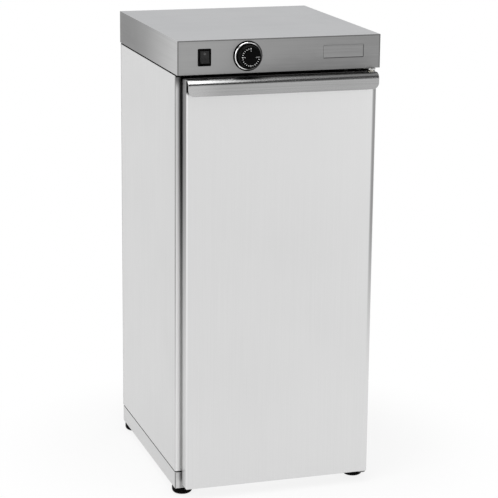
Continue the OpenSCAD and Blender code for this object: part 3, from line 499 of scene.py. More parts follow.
def handle_shade(steel, colour):
    """Painted highlight on the left end, shade on the flat top, and the knob's reflection in the bend."""
    spot, facing = lie(steel)
    # Painted highlight on the left end and painted shade on the flat top.
    colour = between(ramp(spot["X"], *near(handle_low[0], 2.5, 77.5), 0.6, 0.05), colour, 196)
    colour = between(ramp(facing["Z"], 0.93, 0.99, 0.0, 0.8), colour, 50)
    # Painted reflection of the knob in the bend.
    by_knob = times(ramp(spot["X"], *near(knob_x, -41, -11)), below(spot["X"], *near(knob_x, 14, 44)))
    return between(times(by_knob, ramp(facing["Z"], 0.60, 0.90, 0.0, 0.8)), colour, 14)


finishes["stainless_door"] = ground_steel("door_steel", 217, 221, UPRIGHT_LINES, 0.30, 0.38, door_shade,
                                          Specular_Tint=(0.8, 0.8, 0.8, 1))
finishes["stainless_handle"] = ground_steel("handle_steel", 155, 169, LEVEL_LINES, 0.16, 0.22, handle_shade)
print("door darkens behind the handle above", round(handle_low[2] / MM, 1), "mm")

# %% [markdown]
# ## Finish: hinge plates and badge
#
# The hinge plates and the badge are ground along their length too. Of the upper hinge plate only the
# tongue stands in the light, so the rest of both plates is painted dark as shade. The badge is aluminium,
# with a painted shadow along the two edges away from the light. Both are the same ground finish with
# painted shade of their own, which is less work than a second kind of metal.

# %% Bracket steel and badge aluminium
badge_low, badge_high = corners("badge_plate")


def bracket_shade(steel, colour):
    """Painted shade: dark, apart from the lit tongue of the upper hinge plate."""
    spot, _ = lie(steel)
    lit = times(ramp(spot["X"], *near(door_high[0], -19.5, -13.5)), ramp(spot["Z"], 0.3, 0.6, 0.3, 1.0))
    return between(lit, 26, colour)


def badge_shade(steel, colour):
    """Painted shadow: a dark line along the right and the lower edge."""
    spot, _ = lie(steel)
    line = sums(ramp(spot["X"], *near(badge_high[0], -2, -0.8)),
                below(spot["Z"], *near(badge_low[2], 0.8, 2)))
    return between(line, colour, 72)


finishes["bracket_steel"] = ground_steel("bracket_steel", 196, 214, LEVEL_LINES, 0.22, 0.36, bracket_shade)
finishes["badge_aluminium"] = ground_steel("badge_aluminium", 132, 150, LEVEL_LINES, 0.28, 0.40, badge_shade)
print("ground finishes:", len(finishes))

# %% [markdown]
# ## Finish: the cover
#
# The cover is folded from one sheet, ground along its width. Its finish paints light and shade by facing:
# the front and sides darker than the top, each side lighter towards the front, the front lighter to the left
# with a dark line along three edges, and the underside dark. The three faces could be three materials, but
# the sheet is one piece, so one material asks which way the surface faces and where it lies on the cover.

# %% Cover steel
cover_low, cover_high = corners("top_cover")
cover_steel = finish("cover_steel", 150, 0.3, 1.0, Specular_Tint=(0.76, 0.76, 0.76, 1))
spot, facing = lie(cover_steel)
level_lines, deep_lines = grain(cover_steel, LEVEL_LINES, 4.0), grain(cover_steel, DEEP_LINES, 4.0)
streaks = sums(spread(level_lines, 0, 0.5), spread(grain(cover_steel, (9, 9, 22), 3.0), 0, 0.5))


def cover_front():
    """Painted light: darker to the right and low in the middle, streaked, a dark line along three edges."""
    colour = between(ramp(spot["X"], -0.2, 0.10), 159, 138)
    low_middle = times(ramp(spot["X"], -0.17, 0.02), below(spot["X"], 0.15, 0.20),
                       ramp(spot["Z"], *near(cover_low[2], 2, 40), 0.45, 0.0))
    colour = between(low_middle, colour, 110)
    colour = between(ramp(streaks, 0.2, 1.0, 0.0, 0.5), colour, 152)
    rim = sums(ramp(spot["Z"], *near(cover_high[2], -3, -1.4)),
               ramp(spot["X"], *near(cover_high[0], -3, -1.4)),
               below(spot["X"], *near(cover_low[0], 1.4, 3)))
    return between(ramp(rim, 0.0, 1.0, 0.0, 0.75), colour, 92)


def cover_side():
    """Painted light: lighter towards the front, with faint streaks."""
    colour = between(ramp(spot["Y"], cover_low[1] - 0.03, cover_high[1] - 0.09), 204, 131)
    return between(ramp(streaks, 0.2, 1.0, 0.0, 0.2), colour, 176)


# Painted light by facing: the top lighter than the front and sides, and painted shade on the underside.
is_top, is_under = ramp(facing["Z"], 0.6, 0.8), below(facing["Z"], -0.9, -0.6)
is_side = ramp(size_of(facing["X"]), 0.6, 0.8)
cover_top = between(spread(deep_lines), (190, 191, 193), (195, 196, 198))
colour = between(is_top, between(is_side, cover_front(), cover_side()), cover_top)
into(cover_steel, between(is_under, colour, 24), "Base Color")
into(cover_steel, spread(level_lines, 0.28, 0.36), "Roughness")
relief(cover_steel, level_lines, SCRATCH)
finishes["stainless_cover"] = cover_steel
print("cover steel:", len(cover_steel.node_tree.nodes), "nodes")

# %% [markdown]
# ## Finishes: plastics and small metal
#
# The knob and the switch are moulded plastic: nearly black, with a fine spark-eroded grain that breaks up
# the highlight. Small metal parts, plated or bare, have cloudy tones. Each could be a network of its own,
# but all of them are clouds between two tones and a finer grain in roughness and relief, so one function
# and a table of values make them. A row of the table is the dark and the light tone, the grain's cells in
# a metre, the smoothest and the roughest value, the depth of the relief in millimetres and, for metals,
# how metallic it is.

# %% Plastics and small metal
DULL, DEEP = {"Specular_IOR_Level": 0.2}, {"Specular_IOR_Level": 0.02}
SHINE = {"black_plastic": DEEP, "knob_plastic": DEEP, "rocker_plastic": DULL, "foot_plastic": DEEP}
SPECKLED = {
    "black_plastic": (7, 11, 2600, 0.36, 0.50, 0.01),
    "knob_plastic": (7, 12, 2600, 0.34, 0.48, 0.006),
    "rocker_plastic": (30, 37, 2200, 0.30, 0.42, 0.008),
    "foot_plastic": (6, 11, 1500, 0.42, 0.60, 0.02),
    "thermostat_case": (120, 146, 700, 0.40, 0.60, 0.01, 0.9),
    "nylon": ((222, 216, 200), (234, 229, 214), 1200, 0.40, 0.55, 0.01),
    "wire_sleeve": ((146, 34, 30), (170, 44, 38), 900, 0.40, 0.55, 0.01),
    "magnet_ferrite": (48, 62, 1400, 0.50, 0.70, 0.02),
    "zinc_steel": ((176, 176, 172), (206, 204, 196), 500, 0.24, 0.44, 0.004, 1.0),
    "shaft_steel": (160, 184, 600, 0.20, 0.34, 0.003, 1.0),
    "chrome_wire": (206, 226, 400, 0.08, 0.20, 0.002, 1.0),
    "heater_sheath": ((74, 68, 62), (112, 104, 96), 260, 0.36, 0.58, 0.01, 1.0),
    "brass_fitting": ((186, 148, 84), (214, 176, 104), 500, 0.22, 0.40, 0.004, 1.0),
    "copper": ((184, 110, 80), (214, 138, 104), 500, 0.24, 0.42, 0.004, 1.0),
}


def speckled(name, dark, light, cells, smooth, rough, depth, metallic=0.0, shade=None, clouds=None,
             **sockets):
    """Clouds between two tones, and a finer grain in roughness and relief.

    The clouds have an eighth of the grain's cells in a metre, unless a number is given. A shade function may
    paint light and shade into the clouded colour before it goes to the shader."""
    made = finish(name, light, smooth, metallic, **sockets)
    colour = between(spread(grain(made, (clouds or cells / 8,) * 3)), dark, light)
    into(made, shade(made, colour) if shade else colour, "Base Color")
    fine = grain(made, (cells,) * 3, 2.0)
    into(made, spread(fine, smooth, rough), "Roughness")
    relief(made, fine, depth)
    return made


for name, row in SPECKLED.items():
    finishes[name] = speckled(name, *row, **SHINE.get(name, {}))
# Zinc painted dark as shade, for the rivets and the hinge screws.
shaded_zinc = speckled("shaded_zinc", 40, 56, 500, 0.45, 0.60, 0.004, 1.0)
white_print = speckled("white_print", 236, 250, 3000, 0.45, 0.60, 0.003)
grey_print = speckled("grey_print", 96, 116, 3000, 0.45, 0.60, 0.003)
print("speckled finishes:", len(SPECKLED) + 3)

# %% [markdown]
# ## Finishes: seal, bright ring and wool
#
# Rubber is duller than plastic, and the seal is painted paler towards the floor, where more light reaches
# it. The dial's ring is bright chrome, with painted shade on the side away from the lamps. Both are speckled
# finishes, one with painted light and one with painted shade. Mineral wool is made of fibres. As hair they
# would be far too many, so two layers of noise are stretched and crossed, and they also raise a deep relief.

# %% Rubber, chrome and wool
FIBRE_DEPTH = 0.4
ring_low, ring_high = corners("dial_ring")


def seal_shade(made, colour):
    """Painted light: paler towards the floor, where more light reaches the seal."""
    spot, _ = lie(made)
    return between(ramp(spot["Z"], 0.15, 0.72, 0.9, 0.0), colour, 150)


def trim_shade(made, colour):
    """Painted shade: dark on the right and below, where the sum of two slopes across the ring is low."""
    spot, _ = lie(made)
    leftness = ramp(spot["X"], ring_low[0], ring_high[0], 0.9, -0.9)
    upness = ramp(spot["Z"], ring_low[2], ring_high[2], -0.43, 0.43)
    return between(ramp(maths("ADD", leftness, upness), -0.45, 0.15), 84, colour)


finishes["seal_rubber"] = speckled("seal_rubber", 16, 24, 900, 0.55, 0.75, 0.02, shade=seal_shade,
                                   clouds=110, **DEEP)
finishes["chrome_trim"] = speckled("chrome_trim", 228, 244, 300, 0.05, 0.12, 0.001, 1.0, trim_shade, 40)
wool = finish("mineral_wool", (206, 190, 128), 0.95)
layers = grain(wool, (900, 90, 60), 5.0, (0.3, 0.2, 0.5)), grain(wool, (70, 700, 120), 5.0, (0.8, 0.1, 0.3))
fibres = sums(*(ramp(layer, 0.35, 0.7, 0, 0.5) for layer in layers))
into(wool, between(fibres, (168, 148, 86), (226, 212, 158)), "Base Color")
relief(wool, fibres, FIBRE_DEPTH)
finishes["mineral_wool"] = wool
print("finishes:", len(finishes))

# %% [markdown]
# ## Dress the CAD nodes
#
# Where a node's shape is right, it stays. It only gets its finish, and its sheet edges are softened. The
# nodes come as loose triangles, so a Weld modifier joins them, a planar Decimate turns flat triangles back
# into whole faces, and a Bevel breaks the edges. All three are live modifiers, because a node's own mesh
# is never changed.

# %% Finishes and soft edges for the nodes
SHEET_NODES = """
    top_cover rear_panel front_top_rail front_bottom_rail body_floor electrics_deck liner_left
    liner_right liner_rear liner_ceiling liner_floor left_shelf_rails right_shelf_rails heater_guard
    heater_stands door_inner_panel upper_hinge_bracket lower_hinge_bracket thermostat_body
    terminal_block bulb_clips""".split()
EDGE, WELD_GAP, FLAT_ANGLE, EDGE_ANGLE = 0.4, 1e-5, 1.0, 50


def soften(node):
    """Welds a CAD node's triangles, merges the flat ones and rounds its edges."""
    node.modifiers.new("weld", "WELD").merge_threshold = WELD_GAP
    flat = node.modifiers.new("flat", "DECIMATE")
    flat.decimate_type, flat.angle_limit = "DISSOLVE", math.radians(FLAT_ANGLE)
    edges = node.modifiers.new("edges", "BEVEL")
    edges.width, edges.segments = EDGE * MM, 2
    edges.limit_method, edges.angle_limit = "ANGLE", math.radians(EDGE_ANGLE)


for node in nodes.values():
    for slot in node.material_slots:
        slot.material = finishes[slot.material.name.split(".")[0]]
for name in SHEET_NODES:
    soften(nodes[name])
# The hinge screws take the zinc that is painted dark as shade.
nodes["hinge_screws"].material_slots[0].material = shaded_zinc
print("softened:", len(SHEET_NODES))

# %% [markdown]
# ## From arrays to faces
#
# Each new piece is a grid of points worked out with numpy: one direction of the grid runs along a profile,
# the other along a path. Adding cubes and cylinders and editing them by hand would be quicker for one
# piece, but a formula keeps its sizes tied to the CAD node that it stands for. The first helpers put faces
# between the points of a grid, close it with lids, or join two grids into a sheet with a thickness.

# %% Grids and skins


def grid_faces(rows, columns, close_rows=False, close_columns=False):
    """Faces between neighbouring points of a grid; closing joins the last row or column to the first."""
    i, j = np.meshgrid(np.arange(rows - (not close_rows)), np.arange(columns - (not close_columns)),
                       indexing="ij")
    k, m = (i + 1) % rows, (j + 1) % columns
    return np.stack([i * columns + j, i * columns + m, k * columns + m, k * columns + j], -1).reshape(-1, 4)


def skin(grid, close_rows=False, first=False, last=False):
    """Shape over a grid of closed rows, with a flat lid on its first or last row where asked."""
    rows, columns = grid.shape[:2]
    faces = grid_faces(rows, columns, close_rows, True).tolist()
    if first:
        faces.append(list(range(columns))[::-1])
    if last:
        faces.append(list(range((rows - 1) * columns, rows * columns)))
    return grid.reshape(-1, 3), faces


def shell(outer, inner):
    """Sheet between two grids of one size: both faces, and a rim that joins their borders."""
    rows, columns = outer.shape[:2]
    count = rows * columns
    number = np.arange(count).reshape(rows, columns)
    edge = np.concatenate([number[0, :-1], number[:-1, -1], number[-1, :0:-1], number[:0:-1, 0]])
    ahead = np.roll(edge, -1)
    rim = np.stack([edge, edge + count, ahead + count, ahead], 1)
    face = grid_faces(rows, columns)
    points = np.concatenate([outer.reshape(-1, 3), inner.reshape(-1, 3)])
    return points, np.concatenate([face, face[:, ::-1] + count, rim]).tolist()


print("faces of a grid of 3 by 4 points:", len(grid_faces(3, 4)))

# %% [markdown]
# ## From faces to pieces
#
# A piece is one Blender object. Its shapes are joined, points that share a place are merged so that seams
# and poles close, and the faces are made to point outwards. Edit mode has commands for all of that, but a
# script would have to select each object first, and bmesh works on the mesh itself. Then the piece gets a
# finish, it is parented to the body it rides on, and the CAD node it stands for is hidden. Its place is in
# its mesh, as a node's is, so it is never moved.

# %% Pieces
SAME_PLACE = 1e-6


def piece(name, shapes, body, slot=None, node=None, own_finish=None, sharp=35):
    """Joins shapes, each a pair of points in millimetres and faces, into one object on a CAD body.

    It takes the finish of its slot, unless it has one of its own. Edges sharper than an angle stay sharp."""
    points, faces, start = [], [], 0
    for shape_points, shape_faces in shapes:
        points.append(shape_points)
        faces += [[start + i for i in face] for face in shape_faces]
        start += len(shape_points)
    mesh = bpy.data.meshes.new(name)
    mesh.from_pydata((np.concatenate(points) * MM).tolist(), [], faces)
    merged = bmesh.new()
    merged.from_mesh(mesh)
    bmesh.ops.remove_doubles(merged, verts=merged.verts, dist=SAME_PLACE)
    bmesh.ops.recalc_face_normals(merged, faces=merged.faces)
    merged.to_mesh(mesh)
    merged.free()
    mesh.polygons.foreach_set("use_smooth", np.ones(len(mesh.polygons), bool))
    mesh.set_sharp_from_angle(angle=math.radians(sharp))
    mesh.materials.append(own_finish or finishes[slot])
    made = bpy.data.objects.new(name, mesh)
    scene.collection.objects.link(made)
    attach(made, body)
    if node:
        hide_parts(node)
    print(name, "on", body, len(mesh.polygons), "faces")
    return made


def round_edges(made, width, segments=2, angle=35):
    """Rounds the sharp edges of a piece by a width in millimetres."""
    bevel = made.modifiers.new("edges", "BEVEL")
    bevel.width, bevel.segments = width * MM, segments
    bevel.limit_method, bevel.angle_limit = "ANGLE", math.radians(angle)
    bevel.harden_normals = True


print("points closer than", SAME_PLACE / MM, "mm become one")

# %% [markdown]
# ## Door tray
#
# The door's outer sheet is one flat face whose four edges are folded back into a tray. The fold has a
# radius of about two millimetres, which catches a bright line along the door's edge, and the door's finish
# paints a highlight over it as well. A plate with a Bevel modifier would have no walls, so this is a framed
# piece: a profile that goes round a rectangle with round corners. It starts on the flat face, goes round
# the fold, along the wall, over the cut edge and back inside.

# %% Door tray
SHEET, FOLD, CORNER, LEAST_CORNER = 1.0, 2.0, 2.6, 0.05
bend = np.linspace(0, np.pi / 2, 7)


def outline(low, high, r, corner=6, side=1):
    """Rectangle with round corners: four quarter circles of radius r, joined by sides cut into steps."""
    a = np.linspace(0, np.pi / 2, corner + 1)
    (x0, z0), (x1, z1) = low, high
    middles = np.array([(x1 - r, z1 - r), (x0 + r, z1 - r), (x0 + r, z0 + r), (x1 - r, z0 + r)])
    arcs = [m + r * np.stack([np.cos(a + q * np.pi / 2), np.sin(a + q * np.pi / 2)], 1)
            for q, m in enumerate(middles)]
    runs = [np.linspace(arcs[q][-1], arcs[(q + 1) % 4][0], side + 1)[1:-1] for q in range(4)]
    return np.concatenate([part for pair in zip(arcs, runs) for part in pair])


def framed(low, high, rows, r, plane, close=False, corner=6, side=1):
    """Profile carried round a rectangle: a row (inset, depth) is the rectangle drawn in, at that depth.

    In the plane "xz" the depth is y, and in "xy" it is z. An open profile gets a flat lid at both ends."""
    low, high = np.asarray(low, float), np.asarray(high, float)
    rings = []
    for inset, depth in rows:
        flat = outline(low + inset, high - inset, max(r - inset, LEAST_CORNER), corner, side)
        deep = np.full(len(flat), depth)
        order = (flat[:, 0], deep, flat[:, 1]) if plane == "xz" else (flat[:, 0], flat[:, 1], deep)
        rings.append(np.stack(order, 1))
    return skin(np.stack(rings), close_rows=close, first=not close, last=not close)


def folded(start):
    """Profile of a fold, as rows of inset and depth: a quarter circle from a flat face to a wall."""
    return np.column_stack([FOLD * (1 - np.sin(bend)), start + FOLD * (1 - np.cos(bend))]).tolist()


low, high = span("door_outer_skin")
rows = folded(low[1]) + [(0, high[1]), (SHEET, high[1]), (SHEET, low[1] + SHEET)]
tray = framed(low[[0, 2]], high[[0, 2]], rows, CORNER, "xz")
piece("door_tray", [tray], "door", "stainless_door", "door_outer_skin")

# %% [markdown]
# ## Side panels
#
# A side panel is a strip bent twice, at the rear flange and at the front post, and carried straight up. A
# folding press gives such a strip straight runs with a quarter circle at each bend. A Solidify modifier
# could make it thick, but a second line, one sheet further in, has exact bends on both faces. Two narrow
# ledges close the panel at its foot and under the cover.

# %% Side panels
SEAM, COVER_SEAM, FLANGE = 0.8, 1.4, 18.0
LEDGE_CORNER, HEIGHTS = 0.3, 9


def bent(turns, radius, sheet, steps=7):
    """Outer and inner line of a bent strip: straight runs joined by quarter circles that turn left."""
    p = np.asarray(turns, float)
    d = np.diff(p, axis=0)
    d /= np.linalg.norm(d, axis=1)[:, None]
    n = np.stack([-d[:, 1], d[:, 0]], 1)
    a = np.linspace(0, np.pi / 2, steps)[:, None]
    outer, inner = [p[:1]], [p[:1] + sheet * n[0]]
    for k in range(len(d) - 1):
        middle = p[k + 1] + radius * (d[k + 1] - d[k])
        away = -(np.cos(a) * n[k] + np.sin(a) * n[k + 1])
        outer.append(middle + radius * away)
        inner.append(middle + (radius - sheet) * away)
    outer.append(p[-1:])
    inner.append(p[-1:] + sheet * n[-1])
    return np.concatenate(outer), np.concatenate(inner)


for side, sign in (("left", 1), ("right", -1)):
    low, high = span(side + "_side_panel")
    outer_x, inner_x = (low[0], high[0]) if sign > 0 else (-high[0], -low[0])
    flange_x = outer_x + FLANGE
    turns = [(flange_x, high[1]), (outer_x, high[1]), (outer_x, low[1]), (inner_x, low[1])]
    heights = np.linspace(low[2] + SEAM, high[2] - COVER_SEAM, HEIGHTS)
    grids = [np.stack(np.broadcast_arrays(sign * line[:, :1], line[:, 1:], heights), -1)
             for line in bent(turns, FOLD, SHEET)]
    x0, x1 = sorted((sign * (outer_x + SHEET), sign * flange_x))
    ledges = [framed((x0, low[1] + FOLD), (x1, high[1] - FOLD), [(0, z), (0, z + SHEET)], LEDGE_CORNER, "xy",
                     corner=2) for z in (heights[0], heights[-1] - SHEET)]
    piece(side + "_panel", [shell(*grids)] + ledges, "cabinet", "stainless_casing", side + "_side_panel")

# %% [markdown]
# ## Base pan
#
# The base pan carries the cabinet on its feet. An open box with a Solidify modifier would come close, but
# its edges would be sharp, and sheet is always folded round. So it is another framed piece: a fold at its
# foot like the door's, an upright wall, a tighter fold at the rim, and a lip that goes inwards under the
# side panels. The thin dark seam above it is a real gap, and the casing's finish paints shade into it too.

# %% Base pan
LIP, RIM_FOLD = 18.0, 0.8
low, high = span("base_pan")
rim_z = high[2] - SEAM
rows = folded(low[2])
rows += np.column_stack([RIM_FOLD * (1 - np.cos(bend)), rim_z - RIM_FOLD * (1 - np.sin(bend))]).tolist()
rows += [(LIP, rim_z), (LIP, rim_z - SHEET), (SHEET, rim_z - SHEET), (SHEET, low[2] + SHEET)]
tray = framed(low[:2], high[:2], rows, CORNER, "xy")
piece("base_tray", [tray], "cabinet", "stainless_casing", "base_pan")

# %% [markdown]
# ## Handle
#
# The handle is a strip of polished sheet across the whole door. It sits on the door's top, bends forward
# and down, and ends in a plate with two round lower corners. A Simple Deform modifier could bend a flat
# strip, but it would pull the round corners out of shape. So it is a grid again: along one way runs the
# bent profile, along the other the width, and the last row of the grid rises along a quarter circle at
# both ends.

# %% Handle
HANDLE_SHEET, HANDLE_BEND, HANDLE_CORNER = 1.2, 12.0, 12.0
BEND_STEPS, CORNER_STEPS, WIDTH_STEPS, HANDLE_EDGE = 15, 8, 25, 0.14
low, high = span("door_handle")
turn = np.linspace(0, np.pi / 2, CORNER_STEPS)
end_x = high[0] - HANDLE_CORNER + HANDLE_CORNER * np.sin(turn)
end_z = low[2] + HANDLE_CORNER * (1 - np.cos(turn))
width = np.concatenate([-end_x[::-1], np.linspace(-end_x[0], end_x[0], WIDTH_STEPS)[1:-1], end_x])
foot = np.concatenate([end_z[::-1], np.full(WIDTH_STEPS - 2, low[2]), end_z])
profile = [(high[1], high[2]), (low[1], high[2]), (low[1], low[2])]
grids = []
for line in bent(profile, HANDLE_BEND, HANDLE_SHEET, BEND_STEPS):
    grid = np.stack(np.broadcast_arrays(width, line[:, :1], line[:, 1:]), -1)
    grid[-1, :, 2] = foot
    grids.append(grid)
handle = piece("handle_bar", [shell(*grids)], "door", "stainless_handle", "door_handle")
round_edges(handle, HANDLE_EDGE)

# %% [markdown]
# ## Rivets of the handle
#
# Four blind rivets hold the handle on the door's top. Each is a turned piece: a profile that goes round an
# axis, here a shank and a low head whose outline is a quarter of an ellipse. Blender's Spin does that too,
# but with a formula the radius may also vary with the angle, which the cable gland needs later.

# %% Rivets
SHANK_R, HEAD_R, HEAD_RISE, RIVETS = 1.6, 2.88, 0.8, 4
AXES = {"z": ((1, 0, 0), (0, 1, 0), (0, 0, 1)), "y": ((0, 0, 1), (1, 0, 0), (0, 1, 0)),
        "-y": ((1, 0, 0), (0, 0, 1), (0, -1, 0)), "x": ((0, 1, 0), (0, 0, 1), (1, 0, 0))}


def turned(radius, height, centre, axis, count, close=False):
    """Profile turned about an axis: a ring's point at angle t is centre + radius (cos t, sin t) + height.

    The radius is one number for each ring, or one for each ring and angle where the ring isn't round."""
    side, rise, along = np.array(AXES[axis], float)
    t = np.linspace(0, 2 * np.pi, count, endpoint=False)
    ring = np.cos(t)[:, None] * side + np.sin(t)[:, None] * rise
    radius = np.asarray(radius, float)
    radius = radius[:, :, None] if radius.ndim == 2 else radius[:, None, None]
    grid = np.asarray(centre) + radius * ring + np.asarray(height, float)[:, None, None] * along
    return skin(grid, close_rows=close)


low, high = span("handle_rivets")
crown = np.linspace(0, np.pi / 2, 6)
under_head = high[2] - HEAD_RISE
rivet_r = np.concatenate([[0, SHANK_R, SHANK_R], HEAD_R * np.cos(crown)])
rivet_h = np.concatenate([[low[2], low[2], under_head], under_head + HEAD_RISE * np.sin(crown)])
rivet_y = (low[1] + high[1]) / 2
rivets = [turned(rivet_r, rivet_h, (x, rivet_y, 0), "z", count=24)
          for x in np.linspace(low[0] + HEAD_R, high[0] - HEAD_R, RIVETS)]
# The rivet heads take the zinc that is painted dark as shade.
piece("handle_rivet_heads", rivets, "door", "zinc_steel", "handle_rivets", shaded_zinc)

# %% [markdown]
# ## Door seal
#
# A soft bellows closes the gap between the casing and the door. Its face has three ridges. A bump could
# only paint them, and beside the open door the seal would look flat, so a cosine along the width of the
# profile gives them. Along the hinge edge the seal stands back, because the door's corner swings past it
# there.

# %% Door seal
SEAL_WIDTH, RIDGES, RIDGE, SEAL_CORNER = 17.0, 3, 0.9, 6.0
STEP_X, STEP_DEPTH = 171.2, 10.18
low, high = span("door_seal")
d = np.linspace(0, SEAL_WIDTH, 25)
face = low[1] + RIDGE * (1 - np.cos(2 * np.pi * (RIDGES * d / SEAL_WIDTH - 0.5)))
rows = [(0, high[1])] + np.column_stack([d, face]).tolist() + [(SEAL_WIDTH, high[1])]
points, faces = framed(low[[0, 2]], high[[0, 2]], rows, SEAL_CORNER, "xz", close=True, side=44)
share = np.where(points[:, 0] > STEP_X, STEP_DEPTH / (high[1] - low[1]), 1.0)
points[:, 1] = high[1] - (high[1] - points[:, 1]) * share
piece("seal_bellows", [(points, faces)], "cabinet", "seal_rubber", "door_seal", sharp=60)

# %% [markdown]
# ## Dial: knob
#
# The thermostat's knob is a tapered cup on the shaft. It is turned from a profile that starts at the end
# of its bore, goes out along its back, up its side, over a rounded rim and over a face that is sunk a
# little. A cylinder with a bevel would lack the bore and the hollow of the face.

# %% Knob
FACE_R, BORE_R, CAP, RIM, SUNK = 20.5, 3.08, 3.7, 1.6, 0.25
ROUND_STEPS = 120
low, high = span("thermostat_knob")
dial = np.array([(low[0] + high[0]) / 2, cover_low[1] / MM, (low[2] + high[2]) / 2])
knob_back, knob_front, knob_r = dial[1] - high[1], dial[1] - low[1], (high[0] - low[0]) / 2
bore_end, face_h = knob_front - CAP, knob_front - SUNK
rim = np.linspace(0, np.pi / 2, 8)
cup = [(0, bore_end), (BORE_R, bore_end), (BORE_R, knob_back), (knob_r - 0.6, knob_back),
       (knob_r, knob_back + 0.6), (knob_r, knob_back + 3)]
edge = np.column_stack([FACE_R - RIM + RIM * np.cos(rim), knob_front - RIM + RIM * np.sin(rim)])
hollow = [(FACE_R - 2.0, knob_front), (FACE_R - 2.4, face_h), (9.0, face_h), (6.0, knob_front - 0.5),
          (3.0, knob_front - 0.7), (0, knob_front - 0.75)]
radius, height = np.concatenate([cup, edge, hollow]).T
knob = turned(radius, height, dial, "-y", ROUND_STEPS)
piece("dial_knob", [knob], "dial", "knob_plastic", "thermostat_knob")

# %% [markdown]
# ## Dial: marks
#
# The knob tells the temperature by printed ticks, fifteen degrees apart, with longer ones at each quarter.
# They could be painted by the knob's finish, but thin raised bars stay sharp however close the camera
# comes. A row for a bar is its angle, the distances of its near and far end, and half its width.

# %% Marks of the dial
PRINT, TICK_STEP, TICKS = 0.08, 15, 18
LONG_TICK, SHORT_TICK = (14.6, 17.4, 0.5), (15.0, 17.2, 0.36)
ticks = [(90 + TICK_STEP * k, *(SHORT_TICK if k % 6 else LONG_TICK)) for k in range(TICKS)]
figures = [(90, 11.2, 12.4, 0.6), (180, 11.2, 12.4, 0.6), (360, 11.0, 17.2, 0.22), (356, 10.9, 11.5, 0.8)]


def bars(rows):
    """Raised bars on the knob's face: corners at two distances along an angle, half a width aside."""
    angle, start, end, half = np.array(rows, float).T[..., None]
    angle = np.radians(angle)
    along = np.concatenate([np.cos(angle), np.sin(angle)], 1)
    beside = half * np.concatenate([-np.sin(angle), np.cos(angle)], 1)
    flat = np.stack([along * start - beside, along * end - beside,
                     along * end + beside, along * start + beside], 1)
    lifts = np.array([face_h - PRINT, face_h + PRINT])[:, None]
    grids = np.stack(np.broadcast_arrays(dial[0] + flat[:, None, :, 0], dial[1] - lifts,
                                         dial[2] + flat[:, None, :, 1]), -1)
    return [skin(grid, first=True, last=True) for grid in grids]


piece("dial_marks", bars(ticks + figures), "dial", own_finish=white_print)

# %% [markdown]
# ## Dial: bright ring and dark plate
#
# A chrome ring stands round the knob on a thin black plate. Both are turned. A torus would do for the
# ring, but the real one's section is between a circle and a rectangle. A cosine and a sine, each raised to
# a power under one, make its sides flatter.

# %% Ring and plate of the dial
RING_GAP, SQUARENESS, HOLE_R = 1.0, 0.8, 5.6
low, high = span("dial_ring")
inner_r, outer_r, ring_back = knob_r + RING_GAP, (high[0] - low[0]) / 2, dial[1] - high[1]
loop = np.linspace(0, 2 * np.pi, 28, endpoint=False)
out, rise = (np.sign(wave) * np.abs(wave) ** SQUARENESS for wave in (np.cos(loop), np.sin(loop)))
radius = (inner_r + outer_r) / 2 + (outer_r - inner_r) / 2 * out
height = ring_back + (high[1] - low[1]) / 2 * (1 + rise)
trim = turned(radius, height, dial, "-y", ROUND_STEPS, True)
piece("dial_trim", [trim], "cabinet", "chrome_trim", "dial_ring", sharp=60)

low, high = span("dial_plate")
plate_r, plate_t = (high[0] - low[0]) / 2, high[1] - low[1]
radius = [HOLE_R, plate_r - 0.6, plate_r - 0.15, plate_r, plate_r, HOLE_R]
height = [plate_t, plate_t, plate_t - 0.2, plate_t - 0.7, 0, 0]
plate = turned(radius, height, dial, "-y", ROUND_STEPS, True)
piece("dial_back", [plate], "cabinet", "black_plastic", "dial_plate")

# %% [markdown]
# ## Switch housing
#
# A mains rocker switch snaps into a rectangular hole, and its bezel hides the hole's edge. The housing is
# a skin over nested round rectangles, from the floor of the well over the bezel and along the body behind
# the panel. Boolean cuts could make the well, but they leave long thin faces. Three flat blades for the
# wires stand on its back.

# %% Switch housing
WELL, BODY, BLADE = np.array([9.1, 12.5]), np.array([11.0, 15.0]), np.array([0.4, 2.5])
BODY_L, WELL_L, BEZEL_T, BLADE_L, BLADE_GAP = 28.0, 9.0, 2.0, 8.0, 9.0
low, high = span("switch_housing")
middle = np.array([(low[0] + high[0]) / 2, dial[1], (low[2] + high[2]) / 2])
bezel = (high - low)[[0, 2]] / 2


def nest(rows, at=(0, 0), corner=4):
    """Skin over nested round rectangles: a row is half a size, a depth behind the panel and a corner."""
    rings = []
    for half, depth, r in rows:
        flat = outline(at - half, at + half, r, corner)
        rings.append(middle + np.column_stack([flat[:, 0], np.full(len(flat), depth), flat[:, 1]]))
    return skin(np.stack(rings), first=True, last=True)


case = nest([(WELL, WELL_L, 0.6), (WELL, -1.5, 0.6), (WELL + 0.5, -BEZEL_T, 0.8),
             (bezel - 1.1, -BEZEL_T, 1.2), (bezel - 0.35, -1.6, 1.8), (bezel, -0.9, 2.0),
             (bezel, -0.02, 2.0), (BODY, -0.02, 0.8), (BODY, BODY_L, 0.8)])
blades = [nest([(BLADE, BODY_L, 0.2), (BLADE, BODY_L + BLADE_L, 0.2)], (0, z), 2)
          for z in (-BLADE_GAP, 0, BLADE_GAP)]
piece("switch_case", [case] + blades, "cabinet", "black_plastic", "switch_housing")

# %% [markdown]
# ## Rocker
#
# The rocker sits in the well, tilted with its upper half pressed in. It is a profile drawn sideways, with
# a shallow valley across its face. The object could be turned to tilt it, but a piece stays unturned at
# the origin, so its points are worked out upright and then turned about the rocker's pin. A small printed
# ring marks the upper half.

